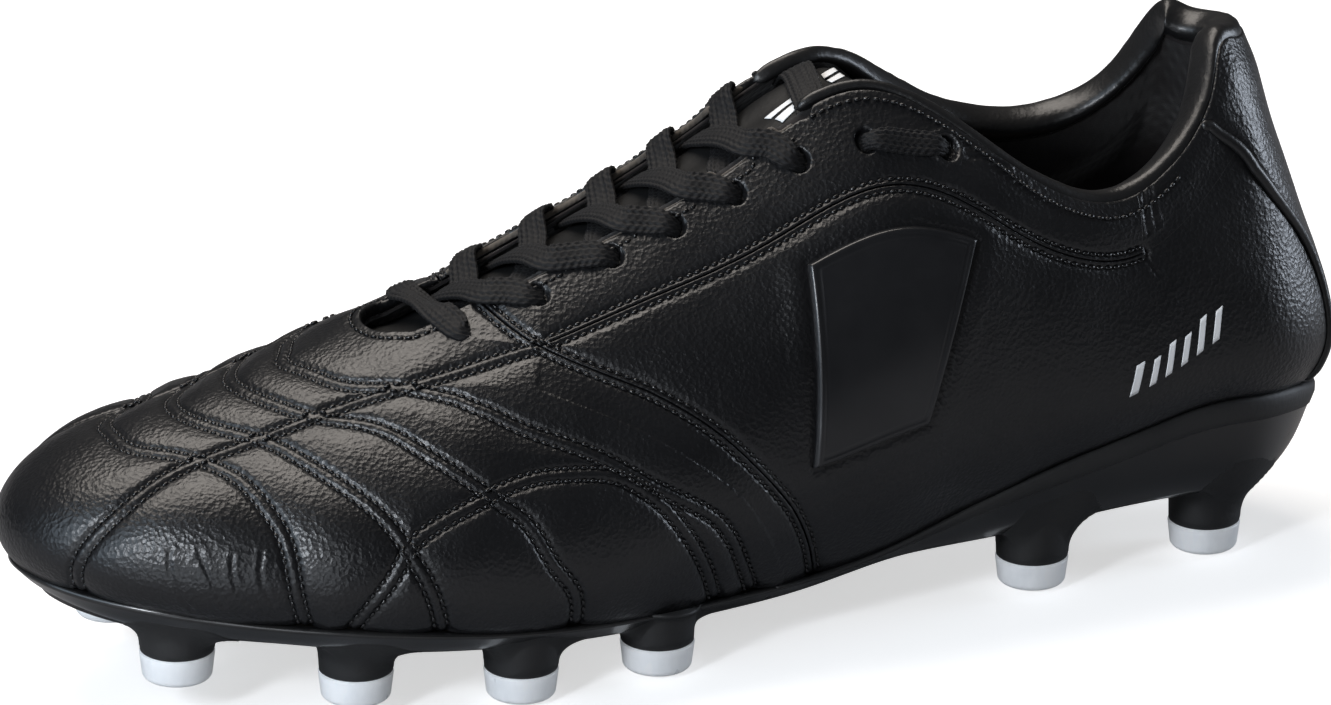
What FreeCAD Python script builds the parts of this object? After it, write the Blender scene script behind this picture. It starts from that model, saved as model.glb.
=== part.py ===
"""Soccer cleat for the left foot, as separate pieces in one frame.

+X runs from the toe to the heel, -Y is the outer (lateral) side, +Z is up.
The origin is under the middle of the shoe, on the ground that the studs stand on.
"""
import FreeCAD
import Part
import Sketcher
import math
import os

Vector = FreeCAD.Vector
doc = FreeCAD.newDocument("soccer_cleat")

# ---------------------------------------------------------------- driving dimensions (mm)
DRIVING = {
    "leather": 1.4,            # outer panels
    "layer_gap": 0.2,          # air between stacked layers
    "lining": 0.7,
    "collar_foam": 4.5,
    "counter": 1.2,
    "toe_puff": 0.9,
    "plate": 4.0,              # floor of the outsole
    "rim_width": 4.0,          # ledge of the outsole that the upper stands on
    "band_height": 5.5,        # matte band round the top of the heel cup
    "filler": 1.0,
    "board": 1.5,
    "sockliner": 3.5,
    "sole_inset": 7.0,         # how far the underside draws in below the ledge
    "shank_length": 84.0,
    "shank_width": 14.0,
    "binding_half_height": 2.3,
    "tongue_cover": 1.0,
    "tongue_foam": 2.4,
    "tongue_lining": 0.7,
    "lace_width": 5.4,
    "lace_thick": 1.0,
    "lace_gap": 0.5,           # air between a lace and what it lies on or under
    "eyelet_radius": 2.0,
    "badge_thick": 1.0,
    "tip_radius": 7.0,
    "tip_height": 6.0,
    "tip_chamfer": 1.2,
    "neck_radius": 7.5,
    "flare_radius": 9.6,
    "flare_height": 5.0,
}
sheet = doc.addObject("Spreadsheet::Sheet", "sizes")
for row_number, (alias, value) in enumerate(DRIVING.items(), start=1):
    sheet.set(f"A{row_number}", alias)
    sheet.set(f"B{row_number}", str(value))
    sheet.setAlias(f"B{row_number}", alias)
doc.recompute()


def size(alias):
    """A driving dimension, read back from the sheet."""
    return float(sheet.get(alias))


# ---------------------------------------------------------------- the upper's outer form
# Stations run round the shoe: toe, lateral side, heel, medial side, back to the toe.
# Each section stands on the spine at x, looks out at an angle in plan (0 lateral, 90 heel,
# 180 medial) and lists (reach, height): feather edge, widest, flank, shoulder, crown, rim.
SPINE_TOE = -57.0
SPINE_HEEL = 108.0
CENTRE_X = 0.65
CENTRE_Y = 0.48
SECTIONS = [
    (-57, -93, [(84, 28), (86, 34), (79, 44.5), (59, 53), (33, 60.5), (10, 67.5)]),
    (-57, -70, [(73, 26), (77, 33), (72, 43.5), (54, 52), (31, 60.5), (10, 67.5)]),
    (-57, -50, [(59, 23), (63, 31.5), (59, 42), (46, 51.5), (27, 61), (10, 68)]),
    (-57, -26, [(51, 21), (54.5, 30), (51, 42), (40, 52.5), (25, 62), (10, 68.5)]),
    (-57, 0, [(47, 18), (50.5, 28), (48, 41), (38, 54), (24, 64), (10, 70.5)]),
    (-22, 0, [(41, 14.5), (46, 28), (45, 42), (37, 59), (24, 75), (11, 85)]),
    (8, 0, [(33, 13), (40, 28), (42, 46), (36, 68), (24, 86), (11, 98)]),
    (35, 0, [(30, 16.5), (37, 31), (40, 50), (37, 72), (27, 93), (12.5, 109.5)]),
    (62, 0, [(31, 26), (36, 38), (38, 54), (36, 70), (31, 84), (24, 95.5)]),
    (88, 0, [(32, 33.7), (36, 42), (36.5, 54), (34, 67), (31, 78), (27, 86.5)]),
    (108, 0, [(31, 37.5), (35, 45), (35, 57), (31, 72), (26, 87), (20.5, 101)]),
    (108, 20, [(32, 37.5), (36, 45), (35.5, 57), (31, 72), (25, 91), (14.5, 110)]),
    (108, 50, [(33, 35.5), (37, 43.5), (35.5, 57), (30, 73), (23, 92), (14.5, 111.2)]),
    (108, 90, [(35, 31), (37.5, 41), (33.5, 58), (27, 75), (21.5, 93), (16, 110.5)]),
    (108, 130, [(33, 35.5), (37, 43.5), (35.5, 57), (30, 73), (23, 92), (14, 110)]),
    (108, 160, [(31, 37), (35, 45), (35, 57), (31, 72), (25, 90), (14.5, 108.5)]),
    (108, 180, [(29, 37.5), (33, 44.5), (34, 57), (31, 72), (26, 84), (21, 95.5)]),
    (88, 180, [(29, 33.7), (33, 42.5), (35, 54), (33, 67), (31, 78), (27, 86.5)]),
    (62, 180, [(28, 26), (32, 38), (35, 54), (34, 71), (30, 86), (23.5, 96)]),
    (35, 180, [(26, 16.5), (31, 32), (36, 53), (34, 74), (26, 94), (12.5, 109.5)]),
    (8, 180, [(29, 13), (35, 30), (38, 49), (34, 69), (24, 86), (11, 98)]),
    (-22, 180, [(38, 14.5), (43, 29), (43, 44), (36, 60), (24, 74), (11, 83)]),
    (-57, 180, [(46, 18), (49.5, 28), (46.5, 41), (37, 53.5), (24, 63), (10, 68.7)]),
    (-57, 206, [(49, 21), (52.5, 30), (49, 41.5), (38.5, 52), (25, 61), (10, 67.8)]),
    (-57, 230, [(59, 23), (63, 31.5), (59, 42), (46, 50.5), (27, 60.5), (10, 68)]),
    (-57, 250, [(74, 26), (78, 33), (73, 43), (54, 51), (31, 60), (10, 67.5)]),
]
STATIONS = len(SECTIONS)
LEVELS = 6
WRAP = 4                       # extra sections at each end, so the closed curve joins smoothly
HEEL_STATION = 13.0

# Side view (x, z): the feather edge, where the upper meets the sole, and the sole's underside.
FEATHER = [(-147, 29), (-142, 27.8), (-127, 26), (-103, 23), (-80, 21), (-58, 18), (-23, 14.5),
           (7, 13), (21, 13.7), (34, 16.5), (61, 26), (87, 33.7), (107, 37.5), (120, 37.3),
           (132, 35.2), (142, 31), (150, 28.5)]
UNDERSIDE = [(-150, 25), (-138, 21), (-126, 18.8), (-105, 17), (-85, 15), (-60, 12.5),
             (-35, 10), (-5, 8), (15, 8), (35, 11), (60, 13), (86, 15.5), (112, 15.7),
             (134, 16.6), (150, 20)]


class Spline:
    """Natural cubic spline through points at the given knots."""

    def __init__(self, knots, points):
        self.knots = knots
        self.points = points
        nothing = points[0] * 0.0
        gaps = [after - before for before, after in zip(knots, knots[1:])]
        slopes = [(q - p) * (1.0 / gap) for p, q, gap in zip(points, points[1:], gaps)]
        ratios = [0.0]
        rests = [nothing]
        for i in range(1, len(knots) - 1):
            pivot = 2 * (gaps[i - 1] + gaps[i]) - gaps[i - 1] * ratios[-1]
            ratios.append(gaps[i] / pivot)
            rests.append(((slopes[i] - slopes[i - 1]) * 6 - rests[-1] * gaps[i - 1]) * (1.0 / pivot))
        bends = [nothing]
        for i in range(len(knots) - 2, 0, -1):
            bends.append(rests[i] - bends[-1] * ratios[i])
        bends.append(nothing)
        self.bends = bends[::-1]

    def at(self, value):
        i = 0
        while i < len(self.knots) - 2 and value > self.knots[i + 1]:
            i += 1
        gap = self.knots[i + 1] - self.knots[i]
        after = (value - self.knots[i]) / gap
        before = 1.0 - after
        sixth = gap * gap / 6.0
        straight = self.points[i] * before + self.points[i + 1] * after
        bend = self.bends[i] * (before ** 3 - before) + self.bends[i + 1] * (after ** 3 - after)
        return straight + bend * sixth


def graph(pairs):
    """A smooth function through (x, value) pairs."""
    return Spline([pair[0] for pair in pairs], [float(pair[1]) for pair in pairs]).at


feather_height = graph(FEATHER)
underside_height = graph(UNDERSIDE)


def bed_height(x):
    """Top of the outsole's floor."""
    return underside_height(x) + size("plate")


def section_points(spine_x, angle, pairs):
    turn = math.radians(angle)
    spine_y = (SPINE_HEEL - spine_x) / (SPINE_HEEL - SPINE_TOE) - CENTRE_Y
    return [Vector(spine_x - CENTRE_X + reach * math.sin(turn),
                   spine_y - reach * math.cos(turn), height) for reach, height in pairs]


def station_curves():
    """Knots round the shoe and one closed curve for each of the six levels."""
    order = [i % STATIONS for i in range(-WRAP, STATIONS + WRAP + 1)]
    rows = [section_points(*SECTIONS[i]) for i in order]
    knots = [0.0]
    for here, there in zip(rows, rows[1:]):
        steps = [(q - p).Length for p, q in zip(here[1:4], there[1:4])]
        knots.append(knots[-1] + sum(steps) / len(steps))
    return knots, [Spline(knots, [row[level] for row in rows]) for level in range(LEVELS)]


KNOTS, LEVEL_CURVES = station_curves()


def level_point(station, level):
    place = station % STATIONS + WRAP
    whole = int(place)
    chord = KNOTS[whole] + (place - whole) * (KNOTS[whole + 1] - KNOTS[whole])
    point = LEVEL_CURVES[level].at(chord)
    if level == 0:
        point = Vector(point.x, point.y, feather_height(point.x))
    return point


def rail(station):
    """Curve up the upper at a station: 0 at the feather edge, 1 at the rim."""
    points = [level_point(station, level) for level in range(LEVELS)]
    lengths = [0.0]
    for p, q in zip(points, points[1:]):
        lengths.append(lengths[-1] + (q - p).Length)
    return Spline([length / lengths[-1] for length in lengths], points), lengths[-1]


def inward(station, height):
    """Unit normal of the outer form, pointing into the shoe."""
    low = max(height - 0.01, 0.0)
    high = min(height + 0.01, 1.0)
    here = rail(station)[0]
    up = here.at(high) - here.at(low)
    along = rail(station + 0.02)[0].at(height) - rail(station - 0.02)[0].at(height)
    return up.cross(along).normalize()


def form_point(station, height, depth=0.0):
    """Point at a depth below the outer form."""
    return rail(station)[0].at(height) + inward(station, height) * depth


def smooth(value, start, end):
    share = min(max((value - start) / (end - start), 0.0), 1.0)
    return share * share * (3 - 2 * share)


def between(station, start, end, fade):
    """1 between two stations, fading to 0 over a length outside them."""
    place = station % STATIONS
    return smooth(place, start - fade, start) * (1 - smooth(place, end, end + fade))


def from_toe(station):
    place = station % STATIONS
    return min(place, STATIONS - place)


def other_side(station):
    return STATIONS - station


# ---------------------------------------------------------------- how thick the layers are
def foam_depth(station, height):
    return size("collar_foam") * between(station, 7.9, 18.1, 1.0) * smooth(height, 0.45, 0.75)


def lining_depth(station, height):
    """Depth of the lining's outer face below the outer form."""
    gap = size("layer_gap")
    low_heel = between(station, 8.9, 17.1, 0.7) * (1 - smooth(height, 0.42, 0.5))
    low_toe = (1 - smooth(from_toe(station), 2.1, 2.8)) * (1 - smooth(height, 0.42, 0.58))
    return (size("leather") + gap + foam_depth(station, height)
            + (size("counter") + gap) * low_heel + (size("toe_puff") + gap) * low_toe)


def below_rim(station, distance):
    """Height on the rail, a distance in mm below the rim."""
    return 1.0 - distance / rail(station)[1]


BINDING_START = 7.5
SHORT_OF_RIM = 0.3             # mm of bare rim above the panels


def panel_top(station):
    """Top edge of the panels: the rim at the throat, under the binding round the collar."""
    collar = between(station, BINDING_START, other_side(BINDING_START), 0.45)
    return below_rim(station, SHORT_OF_RIM + collar * (2 * size("binding_half_height") + 0.1))


# ---------------------------------------------------------------- seams (station, height)
def seam(pairs):
    """Station of a seam at a height, from (height, station) pairs."""
    return graph(pairs)


vamp_edge = seam([(0, 6.35), (0.11, 6.2), (0.24, 5.95), (0.34, 5.7), (0.45, 5.4),
                  (0.61, 4.9), (0.78, 4.52), (1.0, 4.35)])
heel_tab_edge = seam([(0, 11.95), (0.2, 11.98), (0.34, 11.95), (0.44, 11.75), (0.54, 11.37),
                      (0.7, 10.82), (0.85, 10.2), (1.0, 9.75)])
eyestay_edge = graph([(4.0, 0.78), (5.7, 0.785), (7.0, 0.785), (7.4, 0.785), (8.0, 0.76),
                      (8.5, 0.745), (9.0, 0.73), (10.0, 0.73), (12.0, 0.73)])
EYESTAY_END = 9.05
SEAM_SHARE = 0.012             # half a seam gap, as a share of one station
SEAM_RISE = 0.002              # half a seam gap, as a share of the height of the upper


# ---------------------------------------------------------------- solids from point grids
def solid_from(faces):
    """Sews faces into one closed solid."""
    shell = Part.makeCompound(faces)
    shell.sewShape()
    solid = Part.Solid(shell.Shells[0])
    if solid.Volume < 0:
        solid.reverse()
    return solid


def surface_through(grid):
    surface = Part.BSplineSurface()
    surface.interpolate(grid)
    return surface


def slab(outer_grid, inner_grid):
    """Solid between two grids of points that match one to one."""
    outer = surface_through(outer_grid)
    inner = surface_through(inner_grid)
    faces = [outer.toShape(), inner.toShape()]
    u_start, u_end, v_start, v_end = outer.bounds()
    i_start, i_end, j_start, j_end = inner.bounds()
    pairs = [(outer.uIso(u_start), inner.uIso(i_start)), (outer.uIso(u_end), inner.uIso(i_end)),
             (outer.vIso(v_start), inner.vIso(j_start)), (outer.vIso(v_end), inner.vIso(j_end))]
    for edge, mate in pairs:
        faces.append(Part.makeRuledSurface(edge.toShape(), mate.toShape()))
    return solid_from(faces)


def layer(patch, outer_depth, inner_depth, along, up):
    """A layer of the upper: patch(a, b) gives (station, height) over a unit square."""
    outer_grid = []
    inner_grid = []
    for i in range(along + 1):
        outer_row = []
        inner_row = []
        for j in range(up + 1):
            station, height = patch(i / along, j / up)
            outer_row.append(form_point(station, height, outer_depth(station, height)))
            inner_row.append(form_point(station, height, inner_depth(station, height)))
        outer_grid.append(outer_row)
        inner_grid.append(inner_row)
    return slab(outer_grid, inner_grid)


def constant(depth):
    return lambda station, height: depth


def strip(path, normals, width, thickness):
    """A flat strap whose middle follows a path, with its face along the normals."""
    middle = Spline([float(i) for i in range(len(path))], path)
    facing = Spline([float(i) for i in range(len(path))], normals)
    top = []
    bottom = []
    steps = (len(path) - 1) * 3
    for i in range(steps + 1):
        place = i / 3.0
        ahead = middle.at(min(place + 0.05, len(path) - 1.0)) - middle.at(max(place - 0.05, 0.0))
        normal = facing.at(place)
        across = ahead.cross(normal).normalize()
        normal = across.cross(ahead).normalize()
        centre = middle.at(place)
        sides = [across * (width * share) for share in (-0.5, 0.0, 0.5)]
        top.append([centre + side + normal * (thickness / 2) for side in sides])
        bottom.append([centre + side - normal * (thickness / 2) for side in sides])
    return slab(top, bottom)


pieces = {}


def piece(label, shape):
    """A sub-part whose freeform shape is worked out from the sheet."""
    item = doc.addObject("Part::Feature", label)
    item.Shape = shape
    item.Placement = FreeCAD.Placement()
    item.Label = label
    pieces[label] = item
    return item


# ---------------------------------------------------------------- outer panels
LEATHER = size("leather")
GAP = size("layer_gap")


# A patch starts from a middle height and settles its edges onto the slanted seams in rounds.
ROUNDS = 4
QUARTER_MIDDLE = 0.75
EYESTAY_MIDDLE = 0.9
COLLAR_MIDDLE = 0.85


def vamp_patch(a, b):
    height = b * below_rim(0, SHORT_OF_RIM)
    edge = vamp_edge(height) - SEAM_SHARE
    return edge * (2 * a - 1), height


def quarter_patch(a, b):
    height = b * QUARTER_MIDDLE
    for _ in range(ROUNDS):
        start = vamp_edge(height) + SEAM_SHARE
        end = heel_tab_edge(height) - SEAM_SHARE
        station = start + (end - start) * a
        height = b * (eyestay_edge(station) - SEAM_RISE)
    return station, height


def eyestay_patch(a, b):
    height = EYESTAY_MIDDLE
    for _ in range(ROUNDS):
        start = vamp_edge(height) + SEAM_SHARE
        station = start + (EYESTAY_END - start) * a
        low = eyestay_edge(station) + SEAM_RISE
        height = low + (panel_top(station) - low) * b
    return station, height


def collar_patch(a, b):
    height = COLLAR_MIDDLE
    for _ in range(ROUNDS):
        start = EYESTAY_END + 2 * SEAM_SHARE
        station = start + (heel_tab_edge(height) - SEAM_SHARE - start) * a
        low = eyestay_edge(station) + SEAM_RISE
        height = low + (panel_top(station) - low) * b
    return station, height


def heel_tab_patch(a, b):
    height = b
    for _ in range(ROUNDS):
        start = heel_tab_edge(height) + SEAM_SHARE
        station = start + (other_side(start) - start) * a
        height = b * panel_top(station)
    return station, height


def mirrored(patch):
    """The same patch on the medial side."""
    def flipped(a, b):
        station, height = patch(1 - a, b)
        return other_side(station), height
    return flipped


EYELETS = [(4.2, 0.91), (4.62, 0.918), (5.03, 0.923), (5.46, 0.923), (5.91, 0.92), (6.4, 0.9),
           (6.9, 0.88), (7.55, 0.89)]
ROWS = 6                       # crossed rows; the last two eyelets hold the lock loop
DRILL_LENGTH = 8.0


def eyelets(side):
    """Centres of the eyelets on one side, front to back, as (station, height)."""
    if side == "lateral":
        return EYELETS
    return [(other_side(station), height) for station, height in EYELETS]


def punch_eyelets(shape, side):
    for station, height in eyelets(side)[1:]:
        centre = form_point(station, height)
        axis = inward(station, height)
        start = centre - axis * (DRILL_LENGTH / 2)
        drill = Part.makeCylinder(size("eyelet_radius"), DRILL_LENGTH, start, axis)
        shape = shape.cut(drill)
    return shape


outer, inner = constant(0.0), constant(LEATHER)
piece("vamp", layer(vamp_patch, outer, inner, 56, 14))
piece("lateral_quarter", layer(quarter_patch, outer, inner, 26, 12))
piece("medial_quarter", layer(mirrored(quarter_patch), outer, inner, 26, 12))
piece("lateral_eyestay", punch_eyelets(layer(eyestay_patch, outer, inner, 22, 5), "lateral"))
piece("medial_eyestay", punch_eyelets(layer(mirrored(eyestay_patch), outer, inner, 22, 5), "medial"))
piece("lateral_collar_panel", layer(collar_patch, outer, inner, 8, 5))
piece("medial_collar_panel", layer(mirrored(collar_patch), outer, inner, 8, 5))
piece("heel_tab", layer(heel_tab_patch, outer, inner, 18, 14))


# ---------------------------------------------------------------- stiffeners, foam and linings
def lining_end(station, height):
    return lining_depth(station, height) + size("lining")


def window(start, end, low, top):
    """Patch between two stations, from a fixed height up to top(station)."""
    def patch(a, b):
        station = start + (end - start) * a
        return station, low + (top(station) - low) * b
    return patch


# First station, last station, bottom and top height of the moulded stiffeners.
TOE_PUFF = (-1.9, 1.9, 0.02, 0.35)
HEEL_COUNTER = (9.0, 17.0, 0.02, 0.4)
FOAM_LOW = 0.58
LINING_JOIN = 4.47             # station where the two linings meet
LINING_SEAM = 0.02             # half the gap there, in stations


def stiffener(place, clearance, thickness):
    """A moulded sheet between the leather and the lining, in the low part of the upper."""
    start, end, low, top = place
    depth = LEATHER + clearance
    return layer(window(start, end, low, lambda station: top),
                 constant(depth), constant(depth + thickness), 56, 10)


piece("toe_puff", stiffener(TOE_PUFF, 2.5 * GAP, size("toe_puff") - 2 * GAP))
piece("heel_counter", stiffener(HEEL_COUNTER, 1.5 * GAP, size("counter") - GAP))
piece("collar_foam", layer(window(BINDING_START, other_side(BINDING_START), FOAM_LOW, panel_top),
                           constant(LEATHER + GAP), lambda s, h: lining_depth(s, h) - GAP, 40, 8))
front_end = LINING_JOIN - LINING_SEAM
back_start = LINING_JOIN + LINING_SEAM
piece("vamp_lining", layer(window(-front_end, front_end, 0.0,
                                  lambda station: below_rim(0, 2 * SHORT_OF_RIM)),
                           lining_depth, lining_end, 52, 18))
piece("quarter_lining", layer(window(back_start, other_side(back_start), 0.0, panel_top),
                              lining_depth, lining_end, 64, 14))


BINDING_OVERHANG = 0.3         # mm the roll stands out beyond the layers it covers


def binding():
    """Padded roll over the top edge of the collar."""
    half_height = size("binding_half_height")
    steps = 60
    around = 16
    grid = []
    for i in range(steps + 1):
        station = BINDING_START + (other_side(BINDING_START) - BINDING_START) * i / steps
        curve, length = rail(station)
        inner = inward(station, 1.0)
        up = (curve.at(1.0) - curve.at(0.98)).normalize()
        total = lining_depth(station, 1.0) + size("lining")
        half_width = total / 2 + BINDING_OVERHANG
        centre = curve.at(1.0) + inner * (total / 2) - up * half_height
        loop = []
        for j in range(around + 1):
            turn = 2 * math.pi * (j % around) / around
            loop.append(centre + inner * (half_width * math.cos(turn))
                        + up * (half_height * math.sin(turn)))
        grid.append(loop)
    surface = surface_through(grid)
    faces = [surface.toShape()]
    first, last = surface.bounds()[:2]
    for end in (first, last):
        faces.append(Part.Face(Part.Wire([surface.uIso(end).toShape()])))
    return solid_from(faces)


piece("collar_binding", binding())


# ---------------------------------------------------------------- sole
def feather_loop(offset, height):
    """Closed loop a distance outside the feather edge, at height(x), starting at the heel."""
    points = []
    for i in range(STATIONS * 2):
        station = HEEL_STATION + i / 2.0
        here = level_point(station, 0)
        along = level_point(station + 0.05, 0) - level_point(station - 0.05, 0)
        outward = Vector(along.y, -along.x, 0).normalize()
        points.append(Vector(here.x, here.y, height(here.x)) + outward * offset)
    return points


def closed_wire(points):
    curve = Part.BSplineCurve()
    curve.interpolate(Points=points, PeriodicFlag=True)
    return Part.Wire([curve.toShape()])


COLUMN_TOP = 46.0
COLUMN_BOTTOM = 2.0


def column(loops):
    """Solid with flat ends whose side passes through the loops, listed from the top down."""
    lid = [Vector(p.x, p.y, COLUMN_TOP) for p in loops[0]]
    base = [Vector(p.x, p.y, COLUMN_BOTTOM) for p in loops[-1]]
    return Part.makeLoft([closed_wire(loop) for loop in [lid] + loops + [base]], True, True)


def straight_column(offset):
    top = feather_loop(offset, lambda x: COLUMN_TOP)
    bottom = feather_loop(offset, lambda x: COLUMN_BOTTOM)
    return Part.makeLoft([closed_wire(top), closed_wire(bottom)], True, True)


def loop_edge(points):
    curve = Part.BSplineCurve()
    curve.interpolate(points)
    return curve.toShape()


REACH = 150.0                  # beyond the toe and the heel
PROFILE_STEP = 6.0


def side_profile(low, high, start=-REACH, end=REACH):
    """Solid between two height functions of x, right across the shoe."""
    side = -70.0
    count = int((end - start) / PROFILE_STEP)
    places = [start + (end - start) * i / count for i in range(count + 1)]
    low_edge = loop_edge([Vector(x, side, low(x)) for x in places])
    high_edge = loop_edge([Vector(x, side, high(x)) for x in places])
    ends = [Part.makeLine(Vector(x, side, low(x)), Vector(x, side, high(x))) for x in (start, end)]
    wire = Part.Wire(Part.__sortEdges__([low_edge, high_edge] + ends))
    return Part.Face(wire).extrude(Vector(0, -2 * side, 0))


LEDGE_GAP = 0.15


def ledge(x):
    """Top of the outsole's rim, just below the upper."""
    return feather_height(x) - LEDGE_GAP


def sole_side(offset_share, drop_share, lip):
    """One loop of the sole's side wall: the ledge is at drop 0 and the underside at 1."""
    inset = size("sole_inset")
    return feather_loop(lip - inset * offset_share,
                        lambda x: ledge(x) - (ledge(x) - underside_height(x)) * drop_share)


RIM = size("rim_width")
SPARE = 5.0                    # how far a cutting body reaches past the face it cuts
# Loops down the side wall: share of the inset, share of the drop, lip in mm.
WALL_LOOPS = [(0.0, -0.3, 0.0), (0.0, 0.15, 0.6), (0.12, 0.42, 0.0), (0.42, 0.76, 0.0),
              (1.1, 1.12, 0.0)]
sole_form = column([sole_side(*loop) for loop in WALL_LOOPS])
cup = straight_column(-RIM).common(side_profile(bed_height, lambda x: COLUMN_TOP + SPARE))
sole_blank = sole_form.common(side_profile(underside_height, ledge)).cut(cup)

BAND_START = 14.0
BAND_FULL = 105.0              # x from which the band has its full height
BAND_LEAST = 1.2


def band_bottom(x):
    deeper = (size("band_height") - BAND_LEAST) * smooth(x, BAND_START, BAND_FULL)
    return ledge(x) - BAND_LEAST - deeper


band_cutter = side_profile(band_bottom, lambda x: ledge(x) + SPARE, start=BAND_START)
piece("outsole", sole_blank.cut(band_cutter))
piece("heel_band", sole_blank.common(band_cutter))

SHANK_X = 22.0                 # middle of the shank
FLOOR_GAP = 0.1                # air between the layers on the outsole's floor
SIDE_GAP = 0.3                 # air round their edges
filler_low = FLOOR_GAP
filler_high = filler_low + size("filler")
board_low = filler_high + FLOOR_GAP
board_high = board_low + size("board")
liner_low = board_high + 2 * FLOOR_GAP
liner_high = liner_low + size("sockliner")


def floor_layer(offset, low, high):
    """A sheet over the outsole's floor, between two heights above it."""
    return straight_column(-offset).common(
        side_profile(lambda x: bed_height(x) + low, lambda x: bed_height(x) + high))


def shank_outline(clearance):
    length = size("shank_length") + 2 * clearance
    width = size("shank_width") + 2 * clearance
    outline = Part.makeBox(length, width, 60.0, Vector(SHANK_X - length / 2, -width / 2, -10.0))
    return outline.makeFillet(width * 0.45, [edge for edge in outline.Edges
                                             if abs(edge.tangentAt(edge.FirstParameter).z) > 0.9])


filler = floor_layer(RIM + SIDE_GAP, filler_low, filler_high)
piece("bottom_filler", filler.cut(shank_outline(SIDE_GAP)))
piece("shank", filler.common(shank_outline(0.0)))
piece("insole_board", floor_layer(RIM + SIDE_GAP, board_low, board_high))

LINER_INSET = RIM + 3 * SIDE_GAP
CUP_RISE = 6.0                 # how far the sockliner's edge rises round the heel
CUP_WALL = 3.0
CUP_START = 55.0
CUP_SUNK = 1.0                 # of the raised edge into the flat part
sockliner_flat = floor_layer(LINER_INSET, liner_low, liner_high)


def cup_top(x):
    return bed_height(x) + liner_high + CUP_RISE * smooth(x, 40.0, 100.0)


def cup_bottom(x):
    return bed_height(x) + liner_high - CUP_SUNK


sockliner_ring = straight_column(-LINER_INSET).cut(straight_column(-LINER_INSET - CUP_WALL))
heel_rise = sockliner_ring.common(side_profile(cup_bottom, cup_top, start=CUP_START))
piece("sockliner", sockliner_flat.fuse(heel_rise))


# ---------------------------------------------------------------- tongue
def under_lace(station, height):
    """Depth of the tongue's top face, clear of the laces that pass below the eyestays."""
    return lining_depth(station, height) + size("lining") + size("lace_thick") + 4 * size("lace_gap")


TONGUE_DROP = 4.2              # the tongue's middle lies this far below the facings
TONGUE_WING = 14.0             # how far its wings reach down inside the quarters
TONGUE_GAP = 0.1               # air between its layers
BASE_ACROSS = (-18.0, -9.0, 0.6, 10.0, 19.0)


def tongue_row(station, rise):
    """Five points across the tongue, from the lateral wing to the medial wing."""
    mate = other_side(station)
    wing = below_rim(station, TONGUE_WING)
    left = form_point(station, 1.0, under_lace(station, 1.0))
    right = form_point(mate, 1.0, under_lace(mate, 1.0))
    top = (level_point(station, 5) + level_point(mate, 5)) * 0.5
    return [form_point(station, wing, under_lace(station, wing)), left,
            top - Vector(0, 0, TONGUE_DROP - rise), right, form_point(mate, wing, under_lace(mate, wing))]


def base_row(x, heights):
    """A row under the vamp: heights at the wings, the sides and the middle."""
    wing, flank, middle = heights
    return [Vector(x, y, z) for y, z in zip(BASE_ACROSS, (wing, flank, middle, flank, wing))]


TONGUE_ROWS = [base_row(-75, (57.8, 61.4, 62.0)), base_row(-67, (60.0, 62.9, 63.9)),
               tongue_row(4.0, 0.3), tongue_row(4.5, 0), tongue_row(5.0, 0), tongue_row(5.5, 0),
               tongue_row(6.0, 0), tongue_row(6.5, 0), tongue_row(6.9, 0.8), tongue_row(7.13, 2.2)]


def tongue_grid():
    across = 10
    along = 27
    rows = [Spline([0.0, 1.0, 2.0, 3.0, 4.0], row) for row in TONGUE_ROWS]
    columns = [Spline([float(i) for i in range(len(rows))], [row.at(4.0 * j / across) for row in rows])
               for j in range(across + 1)]
    last = len(rows) - 1.0
    return [[column_curve.at(last * i / along) for column_curve in columns]
            for i in range(along + 1)]


TONGUE_TOP = tongue_grid()


def lowered(grid, depth):
    """The grid moved a distance down along its own normals."""
    rows = len(grid)
    columns = len(grid[0])
    moved = []
    for i in range(rows):
        row = []
        for j in range(columns):
            along = grid[min(i + 1, rows - 1)][j] - grid[max(i - 1, 0)][j]
            across = grid[i][min(j + 1, columns - 1)] - grid[i][max(j - 1, 0)]
            row.append(grid[i][j] - along.cross(across).normalize() * depth)
        moved.append(row)
    return moved


level = 0.0
for label, thickness in (("tongue_cover", size("tongue_cover")), ("tongue_foam", size("tongue_foam")),
                         ("tongue_lining", size("tongue_lining"))):
    piece(label, slab(lowered(TONGUE_TOP, level), lowered(TONGUE_TOP, level + thickness)))
    level += thickness + TONGUE_GAP


# ---------------------------------------------------------------- laces
LACE_WIDTH = size("lace_width")
LACE_THICK = size("lace_thick")
LACE_GAP = size("lace_gap")
OVER = -(LACE_THICK / 2 + LACE_GAP)
UNDER_GAP = 1.4 * LACE_GAP
TAIL = 4.0                     # mm that a strap's hidden end reaches down below the rim
LOCK_NARROWER = 1.0
LIFT = 1.4                     # mm of a strap above or below the straight line across the throat
SHOULDER = 0.962               # height between the rim and the eyelets


def under(station):
    """Depth of a strap that passes below the facings."""
    return lining_depth(station, 1.0) + size("lining") + LACE_THICK / 2 + UNDER_GAP


def outward(station, height):
    return inward(station, height) * -1.0


def surface_run(places):
    """Path points and normals for a lace that lies on or under the panels."""
    path = [form_point(station, height, depth) for station, height, depth in places]
    return path, [outward(station, height) for station, height, depth in places]


# Stations, before an eyelet, where a strap on its way into it crosses the rim.
RIM_STEP = {"lateral": 0.3, "medial": 0.13}
FIRST_ROW = 0.5                # share of that step beside the bar


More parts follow.
